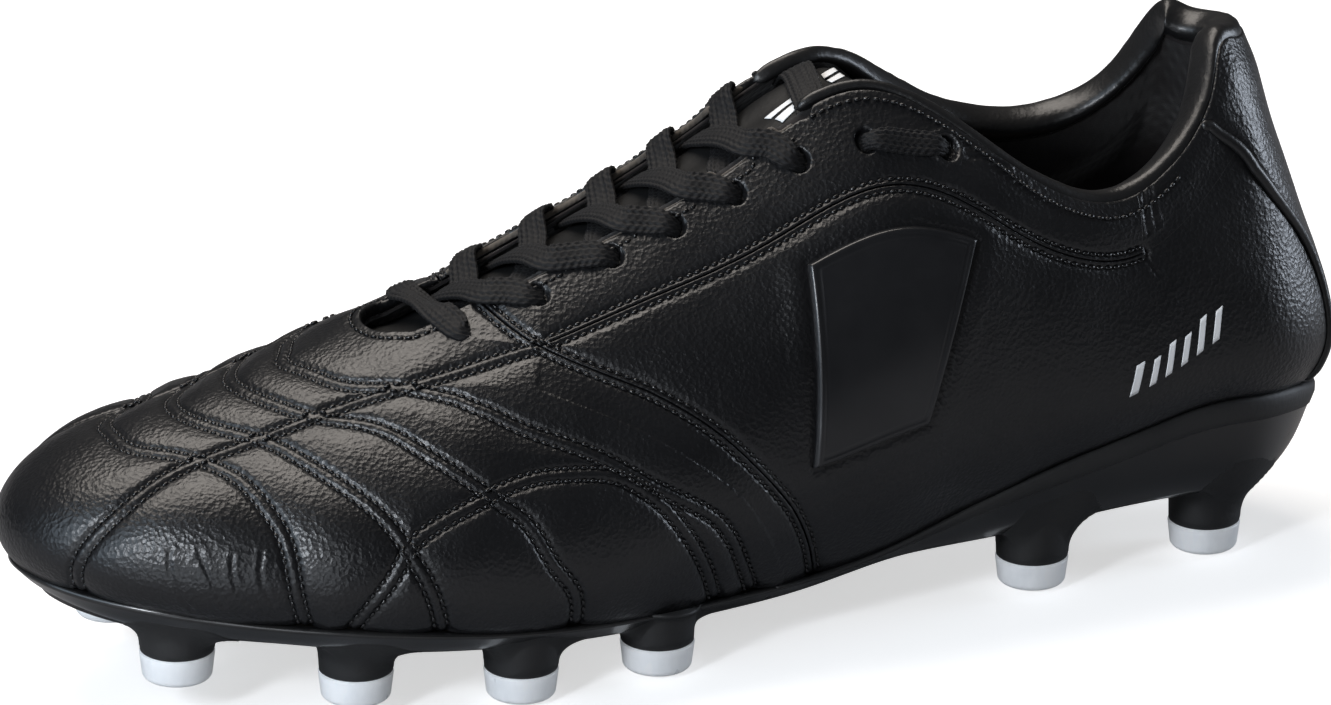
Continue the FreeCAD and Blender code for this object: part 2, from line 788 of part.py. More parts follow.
def crossing(low_side, high_side, row, lift):
    """From under one eyestay, across the throat, over the other and down to its next eyelet."""
    low_station = eyelets(low_side)[row][0]
    high_station, high_height = eyelets(high_side)[row + 1]
    step = RIM_STEP[high_side] * (-1 if high_side == "lateral" else 1)
    if row == 0:
        step *= FIRST_ROW
    depth = under(low_station)
    start, start_normals = surface_run([(low_station, below_rim(low_station, TAIL), depth),
                                        (low_station, 1.0, depth)])
    end, end_normals = surface_run([(high_station + step, 1.0, OVER - LACE_GAP / 2),
                                    (high_station + step / 2, SHOULDER, OVER),
                                    (high_station, high_height, OVER)])
    normal = (start_normals[1] + end_normals[0]).normalize()
    across = []
    for share in (0.25, 0.5, 0.75):
        here = start[1] + (end[0] - start[1]) * share
        across.append(here + normal * (lift * math.sin(math.pi * share)))
    return strip(start + across + end, start_normals + [normal] * 3 + end_normals,
                 LACE_WIDTH, LACE_THICK)


BAR_SHOULDER = 0.955
BAR_RISE = 0.6
TOP_STATIONS = (6.62, 6.78)    # lateral, medial


def over_bar():
    """The first run of the lace, over both eyestays into the front eyelets."""
    station, height = EYELETS[0]
    raised = OVER - LACE_GAP
    levels = [height, BAR_SHOULDER, 1.0]
    near, near_normals = surface_run([(station, level, raised) for level in levels])
    far, far_normals = surface_run([(other_side(station), level, raised) for level in levels[::-1]])
    middle = (near[2] + far[0]) * 0.5 + Vector(0, 0, BAR_RISE)
    return strip(near + [middle] + far, near_normals + [Vector(0, 0, 1)] + far_normals,
                 LACE_WIDTH, LACE_THICK)


def top_crossing():
    """The last run, under both eyestays at the top of the throat."""
    near_station = TOP_STATIONS[0]
    far_station = other_side(TOP_STATIONS[1])
    near_depth, far_depth = under(near_station), under(far_station)
    near, near_normals = surface_run([(near_station, below_rim(near_station, TAIL), near_depth),
                                      (near_station, 1.0, near_depth)])
    far, far_normals = surface_run([(far_station, 1.0, far_depth),
                                    (far_station, below_rim(far_station, TAIL), far_depth)])
    middle = (near[1] + far[0]) * 0.5 + Vector(0, 0, LIFT)
    normal = (near_normals[1] + far_normals[0]).normalize()
    return strip(near + [middle] + far, near_normals + [normal] + far_normals,
                 LACE_WIDTH, LACE_THICK)


def lock_loop(side):
    """The run along the outside between the last two eyelets."""
    (start, low), (end, high) = eyelets(side)[ROWS:]
    places = [(start + (end - start) * i / 4, low + (high - low) * i / 4, OVER) for i in range(5)]
    return strip(*surface_run(places), LACE_WIDTH - LOCK_NARROWER, LACE_THICK)


piece("lace_bar", over_bar())
for row in range(ROWS - 1):
    pair = [crossing("lateral", "medial", row, -LIFT), crossing("medial", "lateral", row, LIFT)]
    piece(f"lace_crossing_{row + 1}", Part.makeCompound(pair))
piece("lace_top", top_crossing())
for side in ("lateral", "medial"):
    piece(f"lace_lock_{side}", lock_loop(side))


# ---------------------------------------------------------------- raised badges
BADGE_LOW = 0.3
BADGE_TALL = 0.4
BADGE_FRONT = 6.05             # station of its lower front corner
BADGE_LONG = 1.15
BADGE_LEAN = 0.3
BADGE_TAPER = 0.18
BADGE_SEAT = 0.1               # mm of glue under it


def badge_patch(a, b):
    """A leaning four-sided panel on the side of the shoe."""
    station = BADGE_FRONT + BADGE_LONG * a + BADGE_LEAN * b
    return station + BADGE_TAPER * (0.5 - b) * (1 - 2 * a), BADGE_LOW + BADGE_TALL * b


badge_outer = constant(-size("badge_thick") - BADGE_SEAT)
badge_inner = constant(-BADGE_SEAT)
piece("lateral_badge", layer(badge_patch, badge_outer, badge_inner, 10, 8))
piece("medial_badge", layer(mirrored(badge_patch), badge_outer, badge_inner, 10, 8))


# ---------------------------------------------------------------- studs
INTO_SOLE = 2.5                # mm that a stud base reaches into the sole before it is trimmed
# (x, distance outside the middle line, height of the tip's face above the ground)
STUDS = [(-116, 18.5, 7.0), (-83, 31.0, 2.3), (-50, 37.0, 0.0), (-19, 34.0, 0.0),
         (71, 21.0, 0.0), (113, 16.5, 0.0)]


def revolved(name, corners, base):
    """A turned body: corners are (radius, height) pairs of expressions on the sheet."""
    body = doc.addObject("PartDesign::Body", name)
    plane = next(item for item in body.Origin.OriginFeatures if item.Role == "XZ_Plane")
    sketch = body.newObject("Sketcher::SketchObject", name + "_profile")
    sketch.AttachmentSupport = [(plane, "")]
    sketch.MapMode = "FlatFace"
    count = len(corners)
    spread = [Vector(1 + i % 2 * 4 + i * 0.1, i, 0) for i in range(count)]
    for i in range(count):
        sketch.addGeometry(Part.LineSegment(spread[i], spread[(i + 1) % count]))
    for i in range(count):
        sketch.addConstraint(Sketcher.Constraint("Coincident", i, 2, (i + 1) % count, 1))
    for i, (radius, height) in enumerate(corners):
        for kind, words in (("DistanceX", radius), ("DistanceY", height)):
            if words == "0":
                line = -2 if kind == "DistanceX" else -1
                sketch.addConstraint(Sketcher.Constraint("PointOnObject", i, 1, line))
                continue
            index = sketch.addConstraint(Sketcher.Constraint(kind, -1, 1, i, 1, 5.0 + i))
            sketch.setExpression(f"Constraints[{index}]", words)
    revolution = body.newObject("PartDesign::Revolution", name + "_turn")
    revolution.Profile = sketch
    revolution.ReferenceAxis = (sketch, ["V_Axis"])
    revolution.Angle = 360.0
    body.Placement = FreeCAD.Placement(base, FreeCAD.Rotation())
    return body


TIP_CORNERS = [("0", "0"), ("sizes.tip_radius - sizes.tip_chamfer", "0"),
               ("sizes.tip_radius", "sizes.tip_chamfer"),
               ("sizes.neck_radius", "sizes.tip_height"), ("0", "sizes.tip_height")]


def base_corners(height):
    """Stud base from its tip joint up into the sole, flaring near the top."""
    flare = f"{height:.2f} - sizes.flare_height"
    return [("0", "0.05"), ("sizes.neck_radius", "0.05"), ("sizes.neck_radius + 0.3", flare),
            ("(sizes.neck_radius + sizes.flare_radius) / 2", f"{flare} + sizes.flare_height * 0.5"),
            ("sizes.flare_radius", f"{height:.2f}"), ("0", f"{height:.2f}")]


for side, sign in (("lateral", -1.0), ("medial", 1.0)):
    for number, (x, reach, ground) in enumerate(STUDS, start=1):
        foot = Vector(x, sign * reach, ground)
        tip = revolved(f"stud_tip_{side}_{number}", TIP_CORNERS, foot)
        pieces[tip.Name] = tip
        tip.Label = tip.Name
        joint = foot + Vector(0, 0, size("tip_height"))
        base_height = underside_height(x) + INTO_SOLE - joint.z
        blank = revolved(f"stud_blank_{side}_{number}", base_corners(base_height), joint)
        base = doc.addObject("Part::Cut", f"stud_base_{side}_{number}")
        base.Base = blank
        base.Tool = pieces["outsole"]
        base.Label = base.Name
        pieces[base.Name] = base

doc.recompute()

# ---------------------------------------------------------------- checks and files
for item in doc.Objects:
    if "Invalid" in item.State or "Error" in item.State:
        raise RuntimeError(f"{item.Label} failed: {item.State}")
os.makedirs("parts", exist_ok=True)
for label, item in pieces.items():
    shape = item.Shape
    if shape.isNull() or not shape.isValid() or shape.Volume < 1.0:
        raise RuntimeError(f"{label} has no valid solid")
    shape.exportStep(f"parts/{label}.step")
    print(label, len(shape.Solids), round(shape.Volume, 1))
whole = Part.makeCompound([item.Shape for item in pieces.values()]).BoundBox
print(f"{len(pieces)} pieces, x {whole.XMin:.2f} {whole.XMax:.2f}, y {whole.YMin:.2f} {whole.YMax:.2f},"
      f" z {whole.ZMin:.2f} {whole.ZMax:.2f}")
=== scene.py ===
"""Looks of the soccer cleat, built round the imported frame. Lengths are in metres.

+X runs from the toe to the heel, -Y is the lateral side, +Z is up. A place on the upper is
(station, height): stations run round the shoe and heights from the sole's edge, 0, to the rim, 1.
"""
import math

import bmesh
import bpy
import numpy as np
from mathutils import Matrix, Vector
from mathutils.kdtree import KDTree


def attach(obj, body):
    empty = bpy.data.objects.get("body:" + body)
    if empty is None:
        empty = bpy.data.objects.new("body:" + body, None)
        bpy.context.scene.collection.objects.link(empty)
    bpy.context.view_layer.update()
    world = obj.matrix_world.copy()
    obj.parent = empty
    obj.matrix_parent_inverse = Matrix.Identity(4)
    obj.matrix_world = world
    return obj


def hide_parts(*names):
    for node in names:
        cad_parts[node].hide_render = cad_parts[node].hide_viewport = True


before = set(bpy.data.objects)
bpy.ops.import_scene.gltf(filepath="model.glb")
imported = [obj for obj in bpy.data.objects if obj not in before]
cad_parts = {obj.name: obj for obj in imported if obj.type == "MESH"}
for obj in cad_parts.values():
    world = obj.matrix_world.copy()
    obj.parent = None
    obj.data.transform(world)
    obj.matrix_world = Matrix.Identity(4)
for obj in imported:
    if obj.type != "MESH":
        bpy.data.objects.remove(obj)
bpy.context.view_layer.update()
MM = 0.001

# ---------------------------------------------------------------- the upper's form
# Each section stands on the spine at x, looks out at an angle in plan (0 lateral, 90 heel,
# 180 medial) and lists (reach, height): feather edge, widest, flank, shoulder, crown, rim.
SPINE_TOE = -57.0
SPINE_HEEL = 108.0
CENTRE_X = 0.65
CENTRE_Y = 0.48
SECTIONS = [
    (-57, -93, [(84, 28), (86, 34), (79, 44.5), (59, 53), (33, 60.5), (10, 67.5)]),
    (-57, -70, [(73, 26), (77, 33), (72, 43.5), (54, 52), (31, 60.5), (10, 67.5)]),
    (-57, -50, [(59, 23), (63, 31.5), (59, 42), (46, 51.5), (27, 61), (10, 68)]),
    (-57, -26, [(51, 21), (54.5, 30), (51, 42), (40, 52.5), (25, 62), (10, 68.5)]),
    (-57, 0, [(47, 18), (50.5, 28), (48, 41), (38, 54), (24, 64), (10, 70.5)]),
    (-22, 0, [(41, 14.5), (46, 28), (45, 42), (37, 59), (24, 75), (11, 85)]),
    (8, 0, [(33, 13), (40, 28), (42, 46), (36, 68), (24, 86), (11, 98)]),
    (35, 0, [(30, 16.5), (37, 31), (40, 50), (37, 72), (27, 93), (12.5, 109.5)]),
    (62, 0, [(31, 26), (36, 38), (38, 54), (36, 70), (31, 84), (24, 95.5)]),
    (88, 0, [(32, 33.7), (36, 42), (36.5, 54), (34, 67), (31, 78), (27, 86.5)]),
    (108, 0, [(31, 37.5), (35, 45), (35, 57), (31, 72), (26, 87), (20.5, 101)]),
    (108, 20, [(32, 37.5), (36, 45), (35.5, 57), (31, 72), (25, 91), (14.5, 110)]),
    (108, 50, [(33, 35.5), (37, 43.5), (35.5, 57), (30, 73), (23, 92), (14.5, 111.2)]),
    (108, 90, [(35, 31), (37.5, 41), (33.5, 58), (27, 75), (21.5, 93), (16, 110.5)]),
    (108, 130, [(33, 35.5), (37, 43.5), (35.5, 57), (30, 73), (23, 92), (14, 110)]),
    (108, 160, [(31, 37), (35, 45), (35, 57), (31, 72), (25, 90), (14.5, 108.5)]),
    (108, 180, [(29, 37.5), (33, 44.5), (34, 57), (31, 72), (26, 84), (21, 95.5)]),
    (88, 180, [(29, 33.7), (33, 42.5), (35, 54), (33, 67), (31, 78), (27, 86.5)]),
    (62, 180, [(28, 26), (32, 38), (35, 54), (34, 71), (30, 86), (23.5, 96)]),
    (35, 180, [(26, 16.5), (31, 32), (36, 53), (34, 74), (26, 94), (12.5, 109.5)]),
    (8, 180, [(29, 13), (35, 30), (38, 49), (34, 69), (24, 86), (11, 98)]),
    (-22, 180, [(38, 14.5), (43, 29), (43, 44), (36, 60), (24, 74), (11, 83)]),
    (-57, 180, [(46, 18), (49.5, 28), (46.5, 41), (37, 53.5), (24, 63), (10, 68.7)]),
    (-57, 206, [(49, 21), (52.5, 30), (49, 41.5), (38.5, 52), (25, 61), (10, 67.8)]),
    (-57, 230, [(59, 23), (63, 31.5), (59, 42), (46, 50.5), (27, 60.5), (10, 68)]),
    (-57, 250, [(74, 26), (78, 33), (73, 43), (54, 51), (31, 60), (10, 67.5)]),
]
STATIONS = len(SECTIONS)
LEVELS = 6
WRAP = 4                       # sections repeated at each end, so that the curves run on

# Side view (x, z): where the upper meets the sole, and the sole's underside.
FEATHER = [(-147, 29), (-142, 27.8), (-127, 26), (-103, 23), (-80, 21), (-58, 18), (-23, 14.5),
           (7, 13), (21, 13.7), (34, 16.5), (61, 26), (87, 33.7), (107, 37.5), (120, 37.3),
           (132, 35.2), (142, 31), (150, 28.5)]
UNDERSIDE = [(-150, 25), (-138, 21), (-126, 18.8), (-105, 17), (-85, 15), (-60, 12.5),
             (-35, 10), (-5, 8), (15, 8), (35, 11), (60, 13), (86, 15.5), (112, 15.7),
             (134, 16.6), (150, 20)]

LEATHER = 1.4 * MM
GAP = 0.2 * MM
LINING = 0.7 * MM
COLLAR_FOAM = 4.5 * MM
COLLAR = (7.9, 18.1)           # stations between which the collar is fully padded
COUNTER = 1.2 * MM
TOE_PUFF = 0.9 * MM
PLATE = 4.0 * MM
RIM = 4.0 * MM                 # width of the sole's rim round its floor
LINER_LOW = 3.05 * MM          # from the outsole's floor to the sockliner's lower face
LINER_THICK = 3.5 * MM
BAND_HEIGHT = 5.5 * MM


def bends_of(knots, values):
    """Second derivatives of natural cubic splines: knots (..., n), values (..., n, d)."""
    gaps = np.diff(knots)
    slopes = np.diff(values, axis=-2) / gaps[..., None]
    count = knots.shape[-1]
    matrix = np.zeros(knots.shape + (count,))
    right = np.zeros(values.shape)
    matrix[..., 0, 0] = 1.0
    matrix[..., -1, -1] = 1.0
    for i in range(1, count - 1):
        matrix[..., i, i - 1] = gaps[..., i - 1]
        matrix[..., i, i] = 2 * (gaps[..., i - 1] + gaps[..., i])
        matrix[..., i, i + 1] = gaps[..., i]
        right[..., i, :] = 6 * (slopes[..., i, :] - slopes[..., i - 1, :])
    return np.linalg.solve(matrix, right)


def spline_at(knots, values, bends, places):
    """Points on one spline (knots (n,)), or on one spline for each place (knots (places, n))."""
    if knots.ndim == 1:
        i = np.clip(np.searchsorted(knots, places) - 1, 0, len(knots) - 2)
        pick, following = (i,), (i + 1,)
    else:
        i = np.clip((knots < places[:, None]).sum(1) - 1, 0, knots.shape[1] - 2)
        row = np.arange(len(places))
        pick, following = (row, i), (row, i + 1)
    gap = (knots[following] - knots[pick])[:, None]
    after = (places - knots[pick])[:, None] / gap
    before = 1.0 - after
    straight = values[pick] * before + values[following] * after
    bend = bends[pick] * (before ** 3 - before) + bends[following] * (after ** 3 - after)
    return straight + bend * gap ** 2 / 6.0


def spline(points, count, knots=None):
    """Evenly numbered samples of a smooth curve through points."""
    points = np.array(points, float)
    if knots is None:
        knots = np.arange(len(points), dtype=float)
    return spline_at(knots, points, bends_of(knots, points), np.linspace(0, knots[-1], count))


def graph(pairs, scale=1.0):
    """A smooth function through (x, value) pairs."""
    table = np.array(pairs, float) * scale
    knots = table[:, 0]
    bends = bends_of(knots, table[:, 1:])

    def curve(x):
        x = np.asarray(x, float)
        return spline_at(knots, table[:, 1:], bends, x.ravel())[:, 0].reshape(x.shape)
    return curve


feather_height = graph(FEATHER, MM)
underside_height = graph(UNDERSIDE, MM)


def section_rows():
    """The six points of each section, with some sections repeated at both ends."""
    rows = []
    for x, angle, pairs in SECTIONS:
        turn = math.radians(angle)
        y = (SPINE_HEEL - x) / (SPINE_HEEL - SPINE_TOE) - CENTRE_Y
        rows.append([(x - CENTRE_X + reach * math.sin(turn), y - reach * math.cos(turn), height)
                     for reach, height in pairs])
    order = np.arange(-WRAP, STATIONS + WRAP + 1) % STATIONS
    return np.array(rows)[order] * MM


ROWS = section_rows()
ROW_STEPS = np.linalg.norm(np.diff(ROWS[:, 1:4], axis=0), axis=2).mean(1)
ROW_KNOTS = np.concatenate([[0.0], np.cumsum(ROW_STEPS)])
ROW_VALUES = ROWS.reshape(len(ROWS), -1)
ROW_BENDS = bends_of(ROW_KNOTS, ROW_VALUES)


def level_points(station):
    """The six level points at each station."""
    place = np.asarray(station, float) % STATIONS + WRAP
    chord = np.interp(place, np.arange(len(ROWS)), ROW_KNOTS)
    points = spline_at(ROW_KNOTS, ROW_VALUES, ROW_BENDS, chord).reshape(-1, LEVELS, 3)
    points[:, 0, 2] = feather_height(points[:, 0, 0])
    return points


def rails(station):
    """Curves up the upper, one for each station: knots, values, bends and length."""
    points = level_points(station)
    steps = np.linalg.norm(np.diff(points, axis=1), axis=2)
    knots = np.concatenate([np.zeros((len(points), 1)), np.cumsum(steps, axis=1)], axis=1)
    length = knots[:, -1:].copy()
    knots /= length
    return knots, points, bends_of(knots, points), length[:, 0]


def unit(vectors):
    return vectors / np.maximum(np.linalg.norm(vectors, axis=-1, keepdims=True), 1e-12)


HEIGHT_STEP = 0.01             # steps over which the surface's directions are measured
STATION_STEP = 0.02


def form(station, height):
    """Points of the upper's form, its outward normals and its directions up the rails."""
    station, height = np.broadcast_arrays(np.asarray(station, float), np.asarray(height, float))
    shape = station.shape
    station, height = station.ravel(), height.ravel()
    curves = rails(station)[:3]
    here = spline_at(*curves, height)
    high = spline_at(*curves, np.minimum(height + HEIGHT_STEP, 1.0))
    low = spline_at(*curves, np.maximum(height - HEIGHT_STEP, 0.0))
    sides = [spline_at(*rails(station + shift)[:3], height) for shift in (-STATION_STEP, STATION_STEP)]
    up = unit(high - low)
    outward = unit(np.cross(sides[1] - sides[0], up))
    return [a.reshape(shape + (3,)) for a in (here, outward, up)]


def rail_length(station):
    station = np.asarray(station, float)
    return rails(station.ravel())[3].reshape(station.shape)


def on_form(station, height, depth=0.0):
    here, outward, _ = form(station, height)
    return here - outward * np.asarray(depth, float)[..., None]


def smooth(value, start, end):
    share = np.clip((value - start) / (end - start), 0.0, 1.0)
    return share * share * (3 - 2 * share)


def between(station, start, end, fade):
    place = np.asarray(station, float) % STATIONS
    return smooth(place, start - fade, start) * (1 - smooth(place, end, end + fade))


def from_toe(station):
    place = np.asarray(station, float) % STATIONS
    return np.minimum(place, STATIONS - place)


def other_side(station):
    return STATIONS - station


def below_rim(station, distance):
    """Height on the rail, a distance below the rim."""
    return 1.0 - distance / rail_length(station)


def foam_depth(station, height):
    return COLLAR_FOAM * between(station, *COLLAR, 1.0) * smooth(height, 0.45, 0.75)


def lining_depth(station, height):
    """Depth of the lining's outer face below the form."""
    low_heel = between(station, 8.9, 17.1, 0.7) * (1 - smooth(height, 0.42, 0.5))
    low_toe = (1 - smooth(from_toe(station), 2.1, 2.8)) * (1 - smooth(height, 0.42, 0.58))
    return (LEATHER + GAP + foam_depth(station, height) + (COUNTER + GAP) * low_heel
            + (TOE_PUFF + GAP) * low_toe)


# ---------------------------------------------------------------- seams of the upper
vamp_edge = graph([(0, 6.35), (0.11, 6.2), (0.24, 5.95), (0.34, 5.7), (0.45, 5.4),
                   (0.61, 4.9), (0.78, 4.52), (1.0, 4.35)])
heel_tab_edge = graph([(0, 11.95), (0.2, 11.98), (0.34, 11.95), (0.44, 11.75), (0.54, 11.37),
                       (0.7, 10.82), (0.85, 10.2), (1.0, 9.75)])
eyestay_edge = graph([(4.0, 0.78), (5.7, 0.785), (7.0, 0.785), (7.4, 0.785), (8.0, 0.76),
                      (8.5, 0.745), (9.0, 0.73), (10.0, 0.73), (12.0, 0.73)])
EYESTAY_END = 9.05
BINDING_START = 6.5

# Quilting on the lateral half, as (station, height); the medial half mirrors it. The cross
# seams run on over the toe.
TOE_LINE = [(0.65, 0.01), (0.75, 0.14), (0.85, 0.26), (0.95, 0.44), (1.2, 0.55), (1.7, 0.66),
            (2.45, 0.75), (3.2, 0.79), (4.52, 0.78)]
ARC = [(2.65, 0.01), (2.8, 0.09), (3.0, 0.2), (3.12, 0.27), (3.45, 0.35), (3.9, 0.41),
       (4.2, 0.44), (4.45, 0.43), (4.7, 0.4), (4.9, 0.34), (5.15, 0.23), (5.3, 0.15), (5.5, 0.01)]
CROSSES = [
    [(0.0, 0.39), (0.35, 0.39), (0.95, 0.44), (1.55, 0.4), (1.85, 0.34), (2.1, 0.26), (2.2, 0.19),
     (2.25, 0.01)],
    [(0.0, 0.54), (0.55, 0.55), (1.45, 0.55), (2.15, 0.48), (2.65, 0.4), (2.9, 0.34), (3.1, 0.26),
     (3.25, 0.18), (3.4, 0.01)],
    [(0.0, 0.68), (0.95, 0.68), (1.75, 0.66), (2.6, 0.64), (3.35, 0.54), (3.9, 0.41), (4.1, 0.34),
     (4.25, 0.21), (4.4, 0.11), (4.45, 0.01)],
    [(0.0, 0.8), (0.55, 0.81), (1.8, 0.79), (2.95, 0.78), (3.65, 0.74), (4.2, 0.6), (4.5, 0.5),
     (4.8, 0.4), (4.95, 0.35), (5.4, 0.24), (5.65, 0.11), (5.8, 0.01)],
]
ROW_OFFSET = 1.3 * MM          # each row of stitches lies this far from its seam's middle
SAMPLE = 0.3 * MM              # spacing of the samples along a seam


def flipped(points):
    return [(-station, height) for station, height in points]


class Seam:
    """A smooth curve on the form through (station, height) points, sampled evenly.

    Stitches run in rows at the given offsets, and the leather beside them swells by puff.
    """

    def __init__(self, points, rows=(-ROW_OFFSET, ROW_OFFSET), puff=1.0 * MM):
        places = np.array(points, float)
        corners = form(places[:, 0], places[:, 1])[0]
        knots = np.concatenate([[0.0], np.cumsum(np.linalg.norm(np.diff(corners, axis=0), axis=1))])
        fine = spline(places, 40 * len(places), knots)
        track = form(fine[:, 0], fine[:, 1])[0]
        run = np.concatenate([[0.0], np.cumsum(np.linalg.norm(np.diff(track, axis=0), axis=1))])
        self.arc = np.linspace(0, run[-1], max(3, int(run[-1] / SAMPLE) + 1))
        self.places = np.stack([np.interp(self.arc, run, fine[:, k]) for k in (0, 1)], axis=1)
        self.points, self.outward, _ = form(self.places[:, 0], self.places[:, 1])
        self.ahead = unit(np.gradient(self.points, axis=0))
        self.side = unit(np.cross(self.outward, self.ahead))
        self.rows = rows
        self.puff = puff


def both(points, **more):
    return [Seam(points, **more), Seam(flipped(points), **more)]


HEIGHTS = np.linspace(0.01, 0.98, 12)
EYESTAY_RUN = np.linspace(4.58, EYESTAY_END, 12)
quilting = both(TOE_LINE) + both(ARC) + [Seam(flipped(line)[:0:-1] + line) for line in CROSSES]
vamp_seams = both([(float(vamp_edge(h)), h) for h in HEIGHTS], puff=0.7 * MM)
eyestay_seams = both([(s, float(eyestay_edge(s))) for s in EYESTAY_RUN], puff=0.6 * MM)
throat_line = [Seam([(s, float(below_rim(s, 2.4 * MM))) for s in np.linspace(-4.2, 4.2, 15)],
                    rows=(0.0,), puff=0.35 * MM)]
heel_seams = both([(float(heel_tab_edge(h)), h) for h in HEIGHTS[:-1]], rows=(), puff=0.8 * MM)


class Nearest:
    """For any points, the nearest sample of a set of seams."""

    def __init__(self, seams):
        self.points = np.concatenate([seam.points for seam in seams])
        self.side = np.concatenate([seam.side for seam in seams])
        self.arc = np.concatenate([seam.arc for seam in seams])
        self.puff = np.concatenate([np.full(len(seam.arc), seam.puff) for seam in seams])
        self.tree = KDTree(len(self.points))
        for i, point in enumerate(self.points):
            self.tree.insert(point, i)
        self.tree.balance()

    def find(self, points):
        """Index of the nearest sample and the distance to it."""
        found = [self.tree.find(point)[1:] for point in points.reshape(-1, 3)]
        index = np.array([item[0] for item in found])
        distance = np.array([item[1] for item in found])
        return index.reshape(points.shape[:-1]), distance.reshape(points.shape[:-1])


near_quilting = Nearest(quilting + vamp_seams + eyestay_seams)
near_throat = Nearest(throat_line)
near_heel = Nearest(heel_seams)

# (station, height) of the eyelets on each side, from the toe; straps cross to the first six.
EYELETS = [(4.2, 0.91), (4.62, 0.918), (5.03, 0.923), (5.46, 0.923), (5.91, 0.92), (6.4, 0.9),
           (6.9, 0.88), (7.5, 0.9)]
LACE_ROWS = 6
STITCH_PITCH = 1.9 * MM
RAIL_MEAN = 85 * MM            # mean length of a rail from the sole to the rim


def bump(value, width):
    return np.exp(-(value / width) ** 2)


def waves(points, length, seed, count=14):
    """Smooth random field with about the given wavelength, between about -1 and 1."""
    draw = np.random.default_rng(seed)
    total = np.zeros(points.shape[:-1])
    for direction in unit(draw.normal(size=(count, 3))):
        stretch = draw.uniform(0.7, 1.4)
        phase = draw.uniform(0, 2 * math.pi)
        total += np.sin(points @ direction * (2 * math.pi * stretch / length) + phase)
    return total / math.sqrt(count)


# Short creases pressed into the leather on each side.
CREASES = [
    [(9.12, 0.79), (9.1, 0.86), (9.13, 0.95)], [(9.22, 0.8), (9.19, 0.88), (9.2, 0.94)],
    [(9.2, 0.62), (9.12, 0.68), (9.1, 0.73)], [(7.65, 0.9), (7.8, 0.93), (7.95, 0.94)],
    [(1.5, 0.2), (1.62, 0.14), (1.7, 0.07)], [(1.75, 0.2), (1.8, 0.13), (1.9, 0.08)],
    [(1.95, 0.22), (1.98, 0.15), (2.05, 0.09)], [(1.3, 0.18), (1.38, 0.1), (1.45, 0.04)],
]
near_crease = Nearest([seam for points in CREASES for seam in both(points, rows=(), puff=0.0)])


PUFF_REACH = 3.2 * MM          # distance over which the leather swells beside its stitches
RIDGE = 0.22 * MM              # the raised strip between two rows of stitches
GROOVE, GROOVE_WIDTH = 0.5 * MM, 0.55 * MM
THROAT_GROOVE = 0.35 * MM
HEEL_GROOVE, HEEL_GROOVE_WIDTH = 0.5 * MM, 1.6 * MM
PUCKER, PUCKER_WIDTH = 0.07 * MM, 0.8 * MM
CREASE, CREASE_WIDTH = 0.2 * MM, 0.5 * MM
FEATHER_TUCK, TUCK_WIDTH = 0.5 * MM, 1.4 * MM
COLLAR_SWELL = 0.7 * MM


def relief(station, height, points):
    """How far the leather stands out from the form."""
    index, distance = near_quilting.find(points)
    beside = distance - ROW_OFFSET
    along = 2 * math.pi * near_quilting.arc[index] / STITCH_PITCH
    lift = near_quilting.puff[index] * (1 - np.exp(-np.maximum(beside, 0.0) / PUFF_REACH)) - 0.1 * MM
    lift += RIDGE * (1 - np.minimum(distance / ROW_OFFSET, 1.0) ** 2)
    lift += PUCKER * np.cos(along) * bump(beside, PUCKER_WIDTH) - GROOVE * bump(beside, GROOVE_WIDTH)
    lift -= THROAT_GROOVE * bump(near_throat.find(points)[1], GROOVE_WIDTH)
    lift -= HEEL_GROOVE * bump(near_heel.find(points)[1], HEEL_GROOVE_WIDTH)
    distance = near_crease.find(points)[1]
    lift -= CREASE * bump(distance, CREASE_WIDTH) - CREASE / 2 * bump(distance - 0.9 * MM, 0.6 * MM)
    lift -= FEATHER_TUCK * bump(height * RAIL_MEAN, TUCK_WIDTH)
    lift += COLLAR_SWELL * between(station, *COLLAR, 0.8) * bump(height - 0.88, 0.09)
    return lift + 0.12 * MM * waves(points, 22 * MM, 3) + 0.012 * MM * waves(points, 5.5 * MM, 4, 24)


# ---------------------------------------------------------------- meshes
def grid_faces(rows, columns, first=0, flip=False, around=False):
    """Quads over a grid of rows x columns vertices; around joins the last column to the first."""
    steps = columns if around else columns - 1
    i, j = np.meshgrid(np.arange(rows - 1), np.arange(steps), indexing="ij")
    k = (j + 1) % columns
    quads = np.stack([i * columns + j, i * columns + k, (i + 1) * columns + k,
                      (i + 1) * columns + j], axis=-1).reshape(-1, 4) + first
    return quads[:, ::-1] if flip else quads


def make_object(name, vertices, faces, material):
    """A smooth-shaded mesh object whose closed mesh faces outward."""
    mesh = bpy.data.meshes.new(name)
    mesh.from_pydata(np.asarray(vertices).reshape(-1, 3).tolist(), [], faces)
    mesh.materials.append(material)
    solid = bmesh.new()
    solid.from_mesh(mesh)
    if solid.calc_volume(signed=True) < 0:
        bmesh.ops.reverse_faces(solid, faces=solid.faces[:])
        solid.to_mesh(mesh)
    solid.free()
    mesh.shade_smooth()
    mesh.validate()
    item = bpy.data.objects.new(name, mesh)
    bpy.context.scene.collection.objects.link(item)
    return item


def register(item, slot, *nodes, body="boot"):
    """Rides on a body and stands for CAD nodes, which it hides; slot is not used."""
    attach(item, body)
    if nodes:
        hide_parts(*nodes)
    return item


def around_circle(count):
    return np.linspace(0, 2 * math.pi, count, endpoint=False)


def tube_faces(rings, around):
    """Faces of rings joined into a tube, closed by a cap at each end."""
    last = (rings - 1) * around
    caps = [list(range(around)), list(range(last + around - 1, last - 1, -1))]
    return grid_faces(rings, around, around=True)[:, ::-1].tolist() + caps


